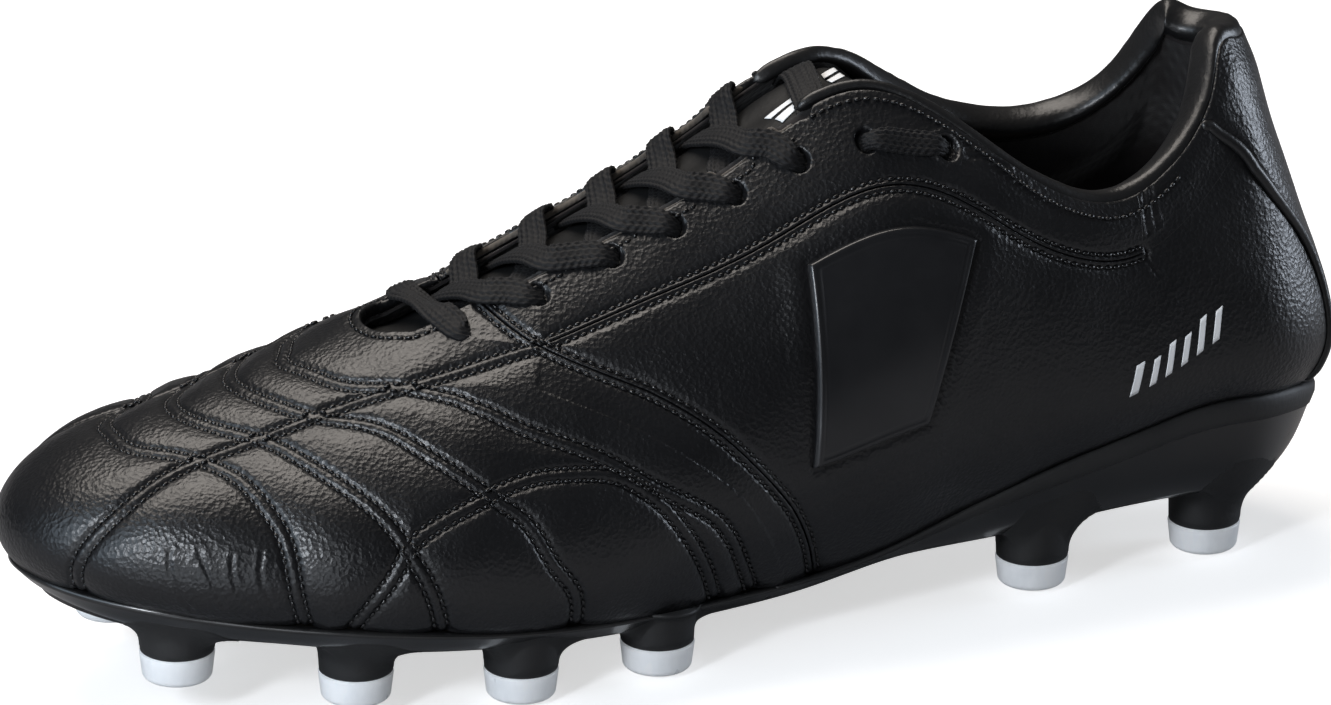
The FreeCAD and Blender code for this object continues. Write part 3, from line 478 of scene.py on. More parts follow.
def drawn_in(count, steps, least):
    """Scale along a tube of count rings: full, and down to least over the last steps."""
    ends = np.minimum(np.arange(count), np.arange(count)[::-1]) / steps
    return np.sqrt(1 - (1 - np.minimum(ends, 1.0)) ** 2) * (1 - least) + least


def squared_circle(count, across_power, up_power):
    """Places across and up round a circle; powers below 1 fill out its corners."""
    turn = around_circle(count)
    return [np.sign(wave) * np.abs(wave) ** power
            for wave, power in ((np.cos(turn), across_power), (np.sin(turn), up_power))]


def facing_out(outer, inner, outward):
    """Both grids, with their rows turned round where the outer one would face inward."""
    corner = np.cross(outer[1, 0] - outer[0, 0], outer[0, 1] - outer[0, 0])
    if np.dot(corner, outward[0, 0]) < 0:
        return outer[::-1], inner[::-1]
    return outer, inner


def unit_grid(along, up):
    """Parameters over a unit square at the given values, or at that many even ones."""
    values = [np.linspace(0, 1, side) if isinstance(side, int) else side for side in (along, up)]
    return np.meshgrid(*values, indexing="ij")


def border_of(index):
    return np.concatenate([index[0, :-1], index[:-1, -1], index[-1, :0:-1], index[:0:-1, 0]])


def closed_sheet(outer, inner, stride=1):
    """Vertices and faces of the closed solid between two grids; the inner one may be coarser."""
    rows, columns = outer.shape[:2]
    picks = [np.unique(np.append(np.arange(0, n, stride), n - 1)) for n in (rows, columns)]
    coarse = inner[np.ix_(*picks)]
    count = rows * columns
    below = np.full((rows, columns), -1)
    below[np.ix_(*picks)] = count + np.arange(coarse[..., 0].size).reshape(coarse.shape[:2])
    ring = border_of(np.arange(count).reshape(rows, columns)).tolist()
    mates = border_of(below).tolist()
    corners = [k for k, mate in enumerate(mates) if mate >= 0]
    faces = grid_faces(rows, columns).tolist()
    faces += grid_faces(*coarse.shape[:2], count, True).tolist()
    for start, end in zip(corners, corners[1:] + [len(ring)]):
        run = [ring[k % len(ring)] for k in range(end, start, -1)]
        faces.append([ring[start], mates[start], mates[end % len(ring)]] + run)
    return np.concatenate([outer.reshape(-1, 3), coarse.reshape(-1, 3)]), faces


EDGE_STEPS = np.array([0, 0.12, 0.28, 0.5, 0.8, 1.2]) * MM
ALL_EDGES = ("start", "end", "bottom", "top")


def paces(length, step):
    """Parameters from 0 to 1 along a length, closer together at the two ends."""
    ends = EDGE_STEPS / length
    middle = np.linspace(ends[-1], 1 - ends[-1], max(2, int(length / step)))
    return np.concatenate([ends[:-1], middle, (1 - ends[:-1])[::-1]])


def edge_distance(grid, sides):
    """Distance of each grid point from the chosen edges: start, end, bottom, top."""
    along = np.linalg.norm(np.diff(grid, axis=0), axis=2)
    up = np.linalg.norm(np.diff(grid, axis=1), axis=2)
    zero_row = np.zeros((1, grid.shape[1]))
    zero_column = np.zeros((grid.shape[0], 1))
    runs = {
        "start": np.concatenate([zero_row, np.cumsum(along, axis=0)]),
        "end": np.concatenate([zero_row, np.cumsum(along[::-1], axis=0)])[::-1],
        "bottom": np.concatenate([zero_column, np.cumsum(up, axis=1)], axis=1),
        "top": np.concatenate([zero_column, np.cumsum(up[:, ::-1], axis=1)], axis=1)[:, ::-1],
    }
    return np.min([runs[side] for side in sides], axis=0)


EDGE_ROUND = 0.7 * MM
INNER_STRIDE = 4               # a panel's hidden face has one row for so many of its outer face


def panel(name, patch, size, step, rounded, extra=None, hidden=None):
    """A leather panel: patch(a, b) gives (station, height) over a unit square.

    extra(station, height, points) adds to its relief, and its rounded edges stay flush where
    hidden(station, height) is 1.
    """
    a, b = unit_grid(paces(size[0], step), paces(size[1], step))
    station, height = patch(a, b)
    base, outward, _ = form(station, height)
    lift = relief(station, height, base)
    if extra is not None:
        lift = lift + extra(station, height, base)
    near = np.minimum(edge_distance(base, rounded) / EDGE_ROUND, 1.0)
    roll = EDGE_ROUND * 0.8 * (1 - np.sqrt(1 - (1 - near) ** 2))
    lift -= roll if hidden is None else roll * (1 - hidden(station, height))
    outer = base + outward * lift[..., None]
    inner = base - outward * (LEATHER * 0.95)
    sheet = closed_sheet(*facing_out(outer, inner, outward), INNER_STRIDE)
    register(make_object(name, *sheet, upper_leather), "upper_leather", name)


SEAM_SHARE = 0.004             # panels stop this part of a station short of their seam
PATCH_ROUNDS = 4               # rounds in which an edge's station and height settle


def vamp_patch(a, b):
    height = b * float(below_rim(0.0, 0.3 * MM))
    return (vamp_edge(height) - SEAM_SHARE) * (2 * a - 1), height


def quarter_patch(a, b):
    height = b * 0.75
    for _ in range(PATCH_ROUNDS):
        start = vamp_edge(height) + SEAM_SHARE
        end = heel_tab_edge(height) - SEAM_SHARE
        station = start + (end - start) * a
        height = b * (eyestay_edge(station) - 0.001 * (1 - plain_join(station, height)))
    return station, height


def plain_join(station, height):
    """1 behind the eyestay, where the quarter runs on into the collar panel."""
    behind = smooth(np.abs(station), EYESTAY_END - 0.02, EYESTAY_END + 0.06)
    before_tab = 1 - smooth(np.abs(station) - heel_tab_edge(height), -0.12, -0.05)
    return behind * smooth(height, 0.6, 0.7) * before_tab


def scallop(station):
    """How far the facing's edge is cut back at each eyelet, between the tabs."""
    cut = np.zeros(np.shape(station))
    for eyelet, _ in EYELETS[1:LACE_ROWS]:
        cut = np.maximum(cut, 1 - smooth(np.abs(station - 0.05 - eyelet), 0.1, 0.17))
    return 2.3 * MM * cut


def facing_top(station):
    """Top edge of the eyestay: scalloped along the throat, under the binding further back."""
    collar = smooth(station, BINDING_START - 0.02, BINDING_START + 0.1)
    deep = smooth(station, 7.2, 7.9)
    return below_rim(station, 0.3 * MM + scallop(station) + collar * (0.9 + 1.6 * deep) * MM)


def eyestay_patch(a, b):
    height = 0.9 + 0 * a
    for _ in range(PATCH_ROUNDS):
        start = vamp_edge(height) + SEAM_SHARE
        station = start + (EYESTAY_END - start) * a
        low = eyestay_edge(station) + 0.001 * (1 - a ** 40)
        height = low + (facing_top(station) - low) * b
    return station, height


def collar_patch(a, b):
    height = 0.85 + 0 * a
    for _ in range(PATCH_ROUNDS):
        station = EYESTAY_END + (heel_tab_edge(height) - SEAM_SHARE - EYESTAY_END) * a
        low = eyestay_edge(station)
        height = low + (facing_top(station) - low) * b
    return station, height


def tab_top(station):
    return below_rim(station, 2.9 * MM)


def heel_tab_patch(a, b):
    height = b + 0 * a
    for _ in range(PATCH_ROUNDS):
        start = heel_tab_edge(height) + SEAM_SHARE
        station = start + (other_side(start) - start) * a
        height = b * tab_top(station)
    return station, height


def mirrored(patch):
    def other(a, b):
        station, height = patch(a, b)
        return -station, height
    return other


EYELET_DEEP = 1.6 * MM
EYELET_LIP = 0.3 * MM
EYELET_TALL, EYELET_WIDE = 2.9 * MM, 2.3 * MM   # half sizes of the slot


def eyelet_dimples(side):
    """Slots pressed into the eyestay where the laces go through."""
    def dent(station, height, points):
        depth = np.zeros(points.shape[:-1])
        for place, level in EYELETS:
            centre, _, up = form(side * place, level)
            away = points - centre
            rise = away @ up
            across = np.sqrt(np.maximum((away ** 2).sum(-1) - rise ** 2, 0))
            reach = np.hypot(rise / EYELET_TALL, across / EYELET_WIDE)
            depth = np.maximum(depth, EYELET_DEEP * (1 - smooth(reach, 0.75, 1.05)))
            depth -= EYELET_LIP * bump(reach - 1.25, 0.25)
        return -depth
    return dent


# ---------------------------------------------------------------- materials
class Nodes:
    """Short helpers over one material's node tree."""

    def __init__(self, name, **sockets):
        self.material = bpy.data.materials.new(name)
        self.material.use_nodes = True
        self.tree = self.material.node_tree
        self.shader = self.tree.nodes["Principled BSDF"]
        self.place = self.add("ShaderNodeTexCoord").outputs["Object"]
        for socket, value in sockets.items():
            self.shader.inputs[socket.replace("_", " ")].default_value = value

    def add(self, kind, **settings):
        node = self.tree.nodes.new(kind)
        for key, value in settings.items():
            setattr(node, key, value)
        return node

    def join(self, source, target):
        self.tree.links.new(source, target)

    def noise(self, scale, detail=3.0, rough=0.55, place=None):
        node = self.add("ShaderNodeTexNoise")
        node.inputs["Scale"].default_value = scale
        node.inputs["Detail"].default_value = detail
        node.inputs["Roughness"].default_value = rough
        self.join(place or self.place, node.inputs["Vector"])
        return node.outputs["Fac"]

    def cells(self, scale, place):
        node = self.add("ShaderNodeTexVoronoi", feature="F1")
        node.inputs["Scale"].default_value = scale
        self.join(place, node.inputs["Vector"])
        return node.outputs["Distance"]

    def bands(self, scale, direction):
        node = self.add("ShaderNodeTexWave", bands_direction=direction)
        node.inputs["Scale"].default_value = scale
        self.join(self.place, node.inputs["Vector"])
        return node.outputs["Fac"]

    def stretched(self, scale):
        """Object coordinates scaled by a different amount along each axis."""
        node = self.add("ShaderNodeMapping")
        node.inputs["Scale"].default_value = scale
        self.join(self.place, node.inputs["Vector"])
        return node.outputs["Vector"]

    def ramp(self, value, stops):
        """Colours at positions; stops are (position, colour) pairs."""
        node = self.add("ShaderNodeValToRGB")
        ramp = node.color_ramp
        while len(ramp.elements) < len(stops):
            ramp.elements.new(0.5)
        for element, (position, colour) in zip(ramp.elements, stops):
            element.position = position
            element.color = (*colour, 1.0)
        self.join(value, node.inputs["Fac"])
        return node.outputs["Color"]

    def span(self, value, low, high):
        """A 0 to 1 value spread between two numbers."""
        node = self.add("ShaderNodeMapRange")
        node.inputs["To Min"].default_value = low
        node.inputs["To Max"].default_value = high
        self.join(value, node.inputs["Value"])
        return node.outputs["Result"]

    def maths(self, operation, first, second):
        node = self.add("ShaderNodeMath", operation=operation)
        for socket, value in zip(node.inputs, (first, second)):
            if isinstance(value, float):
                socket.default_value = value
            else:
                self.join(value, socket)
        return node.outputs["Value"]

    def bump(self, value, strength, distance, previous=None):
        node = self.add("ShaderNodeBump")
        node.inputs["Strength"].default_value = strength
        node.inputs["Distance"].default_value = distance
        self.join(value, node.inputs["Height"])
        if previous is not None:
            self.join(previous, node.inputs["Normal"])
        return node.outputs["Normal"]

    def finish(self, colour=None, roughness=None, normal=None):
        for socket, value in (("Base Color", colour), ("Roughness", roughness), ("Normal", normal)):
            if value is not None:
                self.join(value, self.shader.inputs[socket])
        return self.material


def leather(name, dark, light, rough, grain, coat=0.0):
    """Pebbled full-grain leather: fine cells, pores and a slow change of tone."""
    nodes = Nodes(name, Specular_IOR_Level=0.5, Coat_Weight=coat, Coat_Roughness=0.22)
    warp = nodes.add("ShaderNodeMixRGB", blend_type="ADD")
    warp.inputs["Fac"].default_value = 0.0009
    nodes.join(nodes.place, warp.inputs["Color1"])
    noise = nodes.add("ShaderNodeTexNoise")
    noise.inputs["Scale"].default_value = 700.0
    nodes.join(nodes.place, noise.inputs["Vector"])
    nodes.join(noise.outputs["Color"], warp.inputs["Color2"])
    place = warp.outputs["Color"]
    pebbles = nodes.cells(1050.0, place)
    fine = nodes.cells(2300.0, place)
    wrinkles = nodes.noise(260.0, 4.0, 0.6)
    tone = nodes.noise(45.0, 4.0, 0.6)
    normal = nodes.bump(wrinkles, 0.022 * grain, 0.0008)
    normal = nodes.bump(pebbles, 0.42 * grain, 0.0003, normal)
    normal = nodes.bump(fine, 0.2 * grain, 0.00012, normal)
    colour = nodes.ramp(tone, [(0.3, dark), (0.7, light)])
    roughness = nodes.span(nodes.noise(120.0, 5.0, 0.7), rough - 0.07, rough + 0.09)
    return nodes.finish(colour, roughness, normal)


def fabric(name, dark, light, pitch):
    """Plain weave of crossing yarns."""
    nodes = Nodes(name, Specular_IOR_Level=0.3, Sheen_Weight=0.25, Sheen_Roughness=0.5)
    turns = 1.0 / (pitch * math.pi * 2)
    weave = nodes.maths("MULTIPLY", nodes.bands(turns, "X"), nodes.bands(turns, "Y"))
    fuzz = nodes.noise(2500.0, 3.0)
    mixed = nodes.maths("ADD", weave, nodes.maths("MULTIPLY", fuzz, 0.5))
    colour = nodes.ramp(nodes.noise(260.0, 4.0), [(0.3, dark), (0.75, light)])
    normal = nodes.bump(mixed, 0.6, 0.0002)
    return nodes.finish(colour, nodes.span(fuzz, 0.8, 0.9), normal)


def yarn(name, dark, light, rough, sheen, scale=2600.0):
    """Fine twisted fibres for thread and braid."""
    nodes = Nodes(name, Specular_IOR_Level=0.45, Sheen_Weight=sheen, Sheen_Roughness=0.45)
    fibres = nodes.noise(scale, 4.0, 0.7)
    colour = nodes.ramp(fibres, [(0.35, dark), (0.7, light)])
    normal = nodes.bump(fibres, 0.5, 0.00012)
    return nodes.finish(colour, nodes.span(fibres, rough - 0.08, rough + 0.08), normal)


def moulded(name, dark, light, rough, texture=0.05, coat=0.0):
    """Moulded plastic with a faint texture and handling marks."""
    nodes = Nodes(name, Specular_IOR_Level=0.5, Coat_Weight=coat, Coat_Roughness=0.12)
    marks = nodes.noise(90.0, 5.0, 0.65)
    colour = nodes.ramp(marks, [(0.35, dark), (0.7, light)])
    normal = nodes.bump(nodes.noise(900.0, 3.0), texture, 0.0003)
    return nodes.finish(colour, nodes.span(marks, rough - 0.05, rough + 0.07), normal)


def frosted_glowing():
    """Cloudy see-through plastic of the stud tips, with a faint painted glow (emission) standing in for
    light passing through them.
    """
    nodes = Nodes("stud_tip_frosted", Specular_IOR_Level=0.5, IOR=1.47, Transmission_Weight=0.12,
                  Subsurface_Weight=0.5, Subsurface_Scale=0.005, Emission_Strength=0.1)
    nodes.shader.inputs["Subsurface Radius"].default_value = (1.0, 1.0, 1.0)
    nodes.shader.inputs["Emission Color"].default_value = (0.9, 0.93, 0.96, 1.0)
    cloud = nodes.noise(160.0, 4.0, 0.6, nodes.stretched((1.0, 1.0, 0.4)))
    colour = nodes.ramp(cloud, [(0.3, (0.74, 0.76, 0.78)), (0.7, (0.93, 0.94, 0.95))])
    normal = nodes.bump(nodes.noise(420.0, 3.0), 0.12, 0.0006)
    return nodes.finish(colour, nodes.span(cloud, 0.2, 0.42), normal)


upper_leather = leather("upper_leather", (0.004, 0.0042, 0.005), (0.008, 0.0081, 0.009), 0.32, 1.0)
binding_leather = leather("binding_leather", (0.006, 0.006, 0.0065), (0.011, 0.0108, 0.011), 0.34, 0.35)
tongue_leather = leather("tongue_leather", (0.005, 0.0052, 0.0055), (0.009, 0.009, 0.009), 0.55, 0.3)
raw_edge = fabric("raw_edge", (0.05, 0.043, 0.036), (0.13, 0.11, 0.09), 0.0006)
lining_cloth = fabric("lining_cloth", (0.004, 0.003, 0.003), (0.009, 0.006, 0.006), 0.0011)
insole_cloth = fabric("insole_cloth", (0.008, 0.004, 0.004), (0.02, 0.007, 0.007), 0.0014)
foam_open = fabric("foam_open", (0.03, 0.03, 0.032), (0.06, 0.06, 0.062), 0.0008)
stiff_board = fabric("stiff_board", (0.12, 0.1, 0.075), (0.2, 0.17, 0.13), 0.0009)
steel = moulded("shank_steel", (0.32, 0.33, 0.34), (0.45, 0.46, 0.47), 0.35)
braid = yarn("lace_braid", (0.003, 0.003, 0.0035), (0.008, 0.008, 0.009), 0.6, 0.04)
thread = yarn("stitch_thread", (0.003, 0.003, 0.0035), (0.01, 0.01, 0.0105), 0.16, 0.0, 3500.0)
# The tongue's low specular level is painted shade: it darkens the tongue where it lies in the throat's
# shadow.
for material, socket, value in ((steel, "Metallic", 1.0), (braid, "Specular IOR Level", 0.22),
                                (tongue_leather, "Specular IOR Level", 0.22)):
    material.node_tree.nodes["Principled BSDF"].inputs[socket].default_value = value
badge_film = moulded("badge_film", (0.008, 0.0083, 0.0095), (0.012, 0.0122, 0.0135), 0.3, 0.03, 0.2)
sole_gloss = moulded("sole_gloss", (0.008, 0.008, 0.0085), (0.013, 0.0128, 0.0125), 0.24, 0.03, 0.35)
sole_matte = moulded("sole_matte", (0.009, 0.009, 0.0095), (0.014, 0.0138, 0.0138), 0.55, 0.25)
print_white = moulded("print_white", (0.84, 0.85, 0.86), (0.93, 0.93, 0.93), 0.4)
tip_clear = frosted_glowing()


# ---------------------------------------------------------------- leather panels
SIDES = (("lateral", 1), ("medial", -1))


def build_panels():
    """Each panel with its size, the spacing of its mesh and the edges that are rounded."""
    three = ("start", "end", "top")
    panel("vamp", vamp_patch, (0.4, 0.075), 0.45 * MM, three)
    for side, sign in SIDES:
        turned = (lambda patch: patch) if sign > 0 else mirrored
        panel(f"{side}_quarter", turned(quarter_patch), (0.17, 0.055), 0.7 * MM, three,
              badge_bed(sign), plain_join)
        panel(f"{side}_eyestay", turned(eyestay_patch), (0.135, 0.021), 0.4 * MM,
              ("start", "bottom", "top"), eyelet_dimples(sign))
        panel(f"{side}_collar_panel", turned(collar_patch), (0.03, 0.014), 0.5 * MM, ("end", "top"))
    panel("heel_tab", heel_tab_patch, (0.07, 0.08), 0.7 * MM, three)


# ---------------------------------------------------------------- badges and printed marks
BADGE_FRONT = 6.05
BADGE_LOW, BADGE_HIGH = 0.3, 0.7


def badge_patch(a, b):
    """A leaning four-sided panel on the side of the shoe."""
    height = BADGE_LOW + (BADGE_HIGH - BADGE_LOW) * b
    return BADGE_FRONT + 1.15 * a + 0.3 * b + 0.18 * (0.5 - b) * (1 - 2 * a), height


def badge_border(sign):
    corners = [(0, 0), (1, 0), (1, 1), (0, 1), (0, 0)]
    seams = []
    for (a0, b0), (a1, b1) in zip(corners, corners[1:]):
        steps = np.linspace(0, 1, 5)
        places = [badge_patch(a0 + (a1 - a0) * s, b0 + (b1 - b0) * s) for s in steps]
        seams.append(Seam([(sign * station, height) for station, height in places], rows=()))
    return Nearest(seams)


def badge_bed(sign):
    """The leather is pressed down in a narrow line round the badge and swells outside it."""
    border = badge_border(sign)

    def dent(station, height, points):
        distance = border.find(points)[1]
        return 0.25 * MM * bump(distance - 3.5 * MM, 2.2 * MM) - 0.55 * MM * bump(distance, 0.9 * MM)
    return dent


BADGE_THICK = 1.1 * MM
BADGE_BEVEL = 0.7 * MM
BADGE_LIFT = 0.35 * MM         # its lower edge above the form
BADGE_GROOVE = 0.3 * MM        # a fine line pressed in beside the bevel


def build_badges():
    for side, sign in SIDES:
        a, b = unit_grid(paces(0.03, 0.4 * MM), paces(0.035, 0.4 * MM))
        station, height = badge_patch(a, b)
        base, outward, _ = form(sign * station, height)
        distance = edge_distance(base, ALL_EDGES)
        lift = BADGE_THICK * smooth(distance, -0.2 * MM, BADGE_BEVEL)
        lift -= BADGE_GROOVE * bump(distance - 1.9 * MM, 0.28 * MM)
        lift -= 0.12 * MM * smooth(distance, 2.2 * MM, 2.6 * MM)
        outer = base + outward * (lift + BADGE_LIFT)[..., None]
        inner = base - outward * (0.2 * MM)
        sheet = closed_sheet(*facing_out(outer, inner, outward), INNER_STRIDE)
        register(make_object(f"{side}_badge", *sheet, badge_film), "badge_film", f"{side}_badge")


# ---------------------------------------------------------------- stitching
STITCH_LENGTH = 1.45 * MM
STITCH_RADIUS = 0.42 * MM
STITCH_SINK = 0.12 * MM        # how far a stitch's ends go down into the leather
STITCH_SIDES = 6
# Rings of a stitch: (place along its length, share of the radius, share of the sink).
STITCH_RINGS = [(-0.5, 0.35, -1.0), (-0.34, 0.85, -0.35), (0.0, 1.0, 0.0), (0.34, 0.85, -0.35),
                (0.5, 0.35, -1.0)]


def beads(name, centres, ahead, outward):
    """One joined mesh of short rounded stitches."""
    side = unit(np.cross(outward, ahead))
    vertices = []
    for place, wide, low in STITCH_RINGS:
        middle = centres + ahead * (place * STITCH_LENGTH) + outward * (low * STITCH_SINK)
        for angle in around_circle(STITCH_SIDES):
            vertices.append(middle + side * (STITCH_RADIUS * wide * math.cos(angle))
                            + outward * (STITCH_RADIUS * wide * math.sin(angle)))
    vertices = np.stack(vertices, axis=1)
    one = tube_faces(len(STITCH_RINGS), STITCH_SIDES)
    faces = [[first + corner for corner in face]
             for first in range(0, vertices[..., 0].size, vertices.shape[1]) for face in one]
    return make_object(name, vertices, faces, thread)


def row_places(seam, offset):
    """Centres and directions of the stitches along one row."""
    pick = np.round(np.arange(0.5, seam.arc[-1] / STITCH_PITCH) * STITCH_PITCH / SAMPLE).astype(int)
    pick = pick[pick < len(seam.arc)]
    points = seam.points[pick] + seam.side[pick] * offset
    return seam.places[pick], points, seam.ahead[pick], seam.outward[pick]


PROUD = 0.3 * MM               # stitches stand so far out of the leather
FLUSH = 0.08 * MM              # and so far beside a scalloped edge


def stitch_rows(name, seams, proud=PROUD):
    parts = [row_places(seam, offset) for seam in seams for offset in seam.rows]
    places, points, ahead, outward = (np.concatenate(group) for group in zip(*parts))
    lift = relief(places[:, 0], places[:, 1], points) + proud
    centres = points + outward * lift[:, None]
    register(beads(name, centres, ahead, outward), "upper_leather")


def build_stitching():
    """Rows of stitches along every seam, and single rows along the facings and the collar."""
    stations = np.linspace(4.48, BINDING_START - 0.06, 70)
    facing_lines = both([(s, float(facing_top(s) - 0.03)) for s in stations], rows=(0.0,))
    stations = np.linspace(BINDING_START + 0.06, 9.55, 40)
    collar_lines = both([(s, float(below_rim(s, (3.6 + 2.7 * smooth(s, 7.2, 8.2)) * MM)))
                         for s in stations], rows=(0.0,))
    stitch_rows("quilting_stitches", quilting)
    stitch_rows("vamp_edge_stitches", vamp_seams)
    stitch_rows("eyestay_stitches", eyestay_seams)
    stitch_rows("throat_stitches", throat_line)
    stitch_rows("facing_stitches", facing_lines, FLUSH)
    stitch_rows("collar_stitches", collar_lines)


def swept(middle, across, up, wide, high):
    """Rings round a line: wide and high are each (rings, places round the ring)."""
    return middle[:, None] + across[:, None] * wide[..., None] + up[:, None] * high[..., None]


def tube(name, seam, depth, half_width, half_height, material):
    """A rounded strip below a seam's line; its ends are drawn in."""
    around = 14
    taper = drawn_in(len(seam.points), 4.0, 0.03)[:, None]
    turn = around_circle(around)
    middle = seam.points - seam.outward * depth
    grid = swept(middle, seam.side, seam.outward, half_width * taper * np.cos(turn),
                 half_height * taper * np.sin(turn))
    return make_object(name, grid, tube_faces(len(middle), around), material)


PIPING_WIDE, PIPING_HIGH = 1.25 * MM, 0.95 * MM       # half sizes
RAW_WIDE, RAW_HIGH, RAW_DEPTH = 0.5 * MM, 0.62 * MM, 0.55 * MM


def build_trim():
    """Piping beside the heel tab and the raw edges of the facings."""
    heights = np.linspace(0.012, 0.95, 30)
    stations = np.linspace(4.4, BINDING_START - 0.05, 90)
    for side, sign in SIDES:
        seam = Seam([(sign * (float(heel_tab_edge(h)) - 0.03), h) for h in heights], rows=())
        rise = 0.15 * MM + 0.5 * MM * smooth(seam.arc, 0.0, 4 * MM)
        piping = tube(f"{side}_heel_piping", seam, -rise[:, None], PIPING_WIDE, PIPING_HIGH,
                      binding_leather)
        register(piping, "binding_leather")
        edge = Seam([(sign * s, float(facing_top(s))) for s in stations], rows=())
        raw = tube(f"{side}_facing_edge", edge, RAW_DEPTH, RAW_WIDE, RAW_HIGH, raw_edge)
        register(raw, "lining_fabric")


HEEL_MARKS = 6
PRINT_THICK = 0.12 * MM


def slanted_bar(name, corners, body, lift, project):
    """A thin printed bar between four corners; project finds places and normals for them."""
    a, b = (side[..., None] for side in unit_grid(8, 8))
    p = np.array(corners, float)
    flat = p[0] * ((1 - a) * (1 - b)) + p[1] * (a * (1 - b)) + p[2] * (a * b) + p[3] * ((1 - a) * b)
    here, outward = project(flat)
    sheet = facing_out(here + outward * (lift + PRINT_THICK), here + outward * lift, outward)
    register(make_object(name, *closed_sheet(*sheet), print_white), "stud_tip_clear", body=body)


def on_upper(flat):
    here, outward, _ = form(flat[..., 0], flat[..., 1])
    lift = relief(flat[..., 0], flat[..., 1], here)
    return here + outward * lift[..., None], outward


FIRST_MARK = (8.86, 0.225)     # (station, height) of the first bar's foot
MARK_STEP = (0.185, 0.008)
MARK_WIDE, MARK_LEAN, MARK_TALL = 0.075, 0.055, 0.115


def build_heel_marks():
    """A plain row of short slanted bars where the lettering would be."""
    for k in range(HEEL_MARKS):
        station, height = (first + step * k for first, step in zip(FIRST_MARK, MARK_STEP))
        tall = MARK_TALL - 0.016 * (k % 2)
        corners = [(station, height), (station + MARK_WIDE, height + 0.004),
                   (station + MARK_WIDE + MARK_LEAN, height + tall),
                   (station + MARK_LEAN, height + tall - 0.004)]
        slanted_bar(f"heel_mark_{k + 1}", corners, "boot", 0.02 * MM, on_upper)


# ---------------------------------------------------------------- linings and padding
def layer(name, patch, outer_depth, inner_depth, along, up, material):
    """A lining or padding between two depths below the form."""
    station, height = patch(*unit_grid(along, up))
    base, outward, _ = form(station, height)
    outer, inner = (base - outward * depth(station, height)[..., None]
                    for depth in (outer_depth, inner_depth))
    return make_object(name, *closed_sheet(outer, inner), material)


LINING_JOIN = 4.45             # station where the vamp's lining meets the quarters'
FOAM_START = 7.6
FOAM_LOW = 0.6


def lining_top(station):
    return below_rim(station, 0.6 * MM + 3.4 * MM * between(station, 7.5, 18.5, 0.45))


def build_linings():
    def lining_end(station, height):
        return lining_depth(station, height) + LINING

    def foam_start(station, height):
        return LEATHER + GAP + 0.0 * height

    def foam_end(station, height):
        return lining_depth(station, height) - GAP

    def front_patch(a, b):
        return LINING_JOIN * (2 * a - 1), b * below_rim(0.0, 0.8 * MM)

    def back_patch(a, b):
        station = LINING_JOIN + 0.05 + 17.0 * a
        return station, b * lining_top(station)

    def foam_patch(a, b):
        station = FOAM_START + (other_side(FOAM_START) - FOAM_START) * a
        return station, FOAM_LOW + (lining_top(station) - FOAM_LOW) * b

    front = layer("vamp_lining", front_patch, lining_depth, lining_end, 160, 50, lining_cloth)
    register(front, "lining_fabric", "vamp_lining")
    back = layer("quarter_lining", back_patch, lining_depth, lining_end, 300, 70, lining_cloth)
    register(back, "lining_fabric", "quarter_lining")
    foam = layer("collar_foam", foam_patch, foam_start, foam_end, 160, 24, foam_open)
    register(foam, "foam", "collar_foam")


def build_binding():
    """Glossy padded roll over the collar's edge, thin at the throat and full round the ankle."""
    count, around = 520, 28
    station = np.linspace(BINDING_START, other_side(BINDING_START), count)
    rim, outward, up = form(station, np.ones(count))
    full = between(station, *COLLAR, 0.9)
    thick = (lining_depth(station, np.ones(count)) + LINING) * (0.25 + 0.75 * full) + 1.7 * MM * (1 - full)
    half_height = (1.2 + 1.5 * full) * MM
    half_width = thick / 2 + 0.55 * MM
    taper = drawn_in(count, 5.0, 0.02)
    proud = (0.5 + 1.0 * between(station, 6.6, 7.6, 0.5)) * MM
    middle = rim - outward * (thick / 2)[:, None] - up * (half_height - proud)[:, None]
    wide, high = squared_circle(around, 0.8, 0.85)
    grid = swept(middle, -outward, up, (half_width * taper)[:, None] * wide,
                 (half_height * taper)[:, None] * high)
    ripple = 0.12 * MM * waves(grid, 16 * MM, 8) + 0.04 * MM * waves(grid, 4 * MM, 9)
    grid = grid + unit(grid - middle[:, None]) * ripple[..., None]
    roll = make_object("collar_binding", grid, tube_faces(count, around), binding_leather)
    register(roll, "binding_leather", "collar_binding")


# ---------------------------------------------------------------- tongue
LACE_GAP = 0.5 * MM
LACE_CLEAR = 1.0 * MM + 4 * LACE_GAP
TONGUE_DROP = 4.2 * MM         # its middle lies this far below the rims
TONGUE_WING = 14 * MM          # its wings end this far below the rims
# (station, rise of the middle in mm) of the tongue's rows along the throat.
TONGUE_STATIONS = [(4.0, 0.3), (4.5, 0), (5.0, 0), (5.5, 0), (6.0, 0), (6.5, 0), (6.9, 0.8), (7.13, 2.2)]


def under_lace(station, height):
    return lining_depth(station, height) + LINING + LACE_CLEAR


def tongue_row(station, rise):
    """Five points across the tongue, from the lateral wing to the medial wing."""
    pair = np.array([station, other_side(station)])
    wings, edges = (on_form(pair, level, under_lace(pair, level))
                    for level in (below_rim(pair, TONGUE_WING), np.ones(2)))
    middle = form(pair, np.ones(2))[0].mean(0) - [0, 0, TONGUE_DROP - rise * MM]
    return [wings[0], edges[0], middle, edges[1], wings[1]]


def base_row(x, heights):
    """A row under the vamp: heights at the wings, the sides and the middle."""
    wing, flank, middle = heights
    return np.array([(x, -18, wing), (x, -9, flank), (x, 0.6, middle), (x, 10, flank),
                     (x, 19, wing)]) * MM


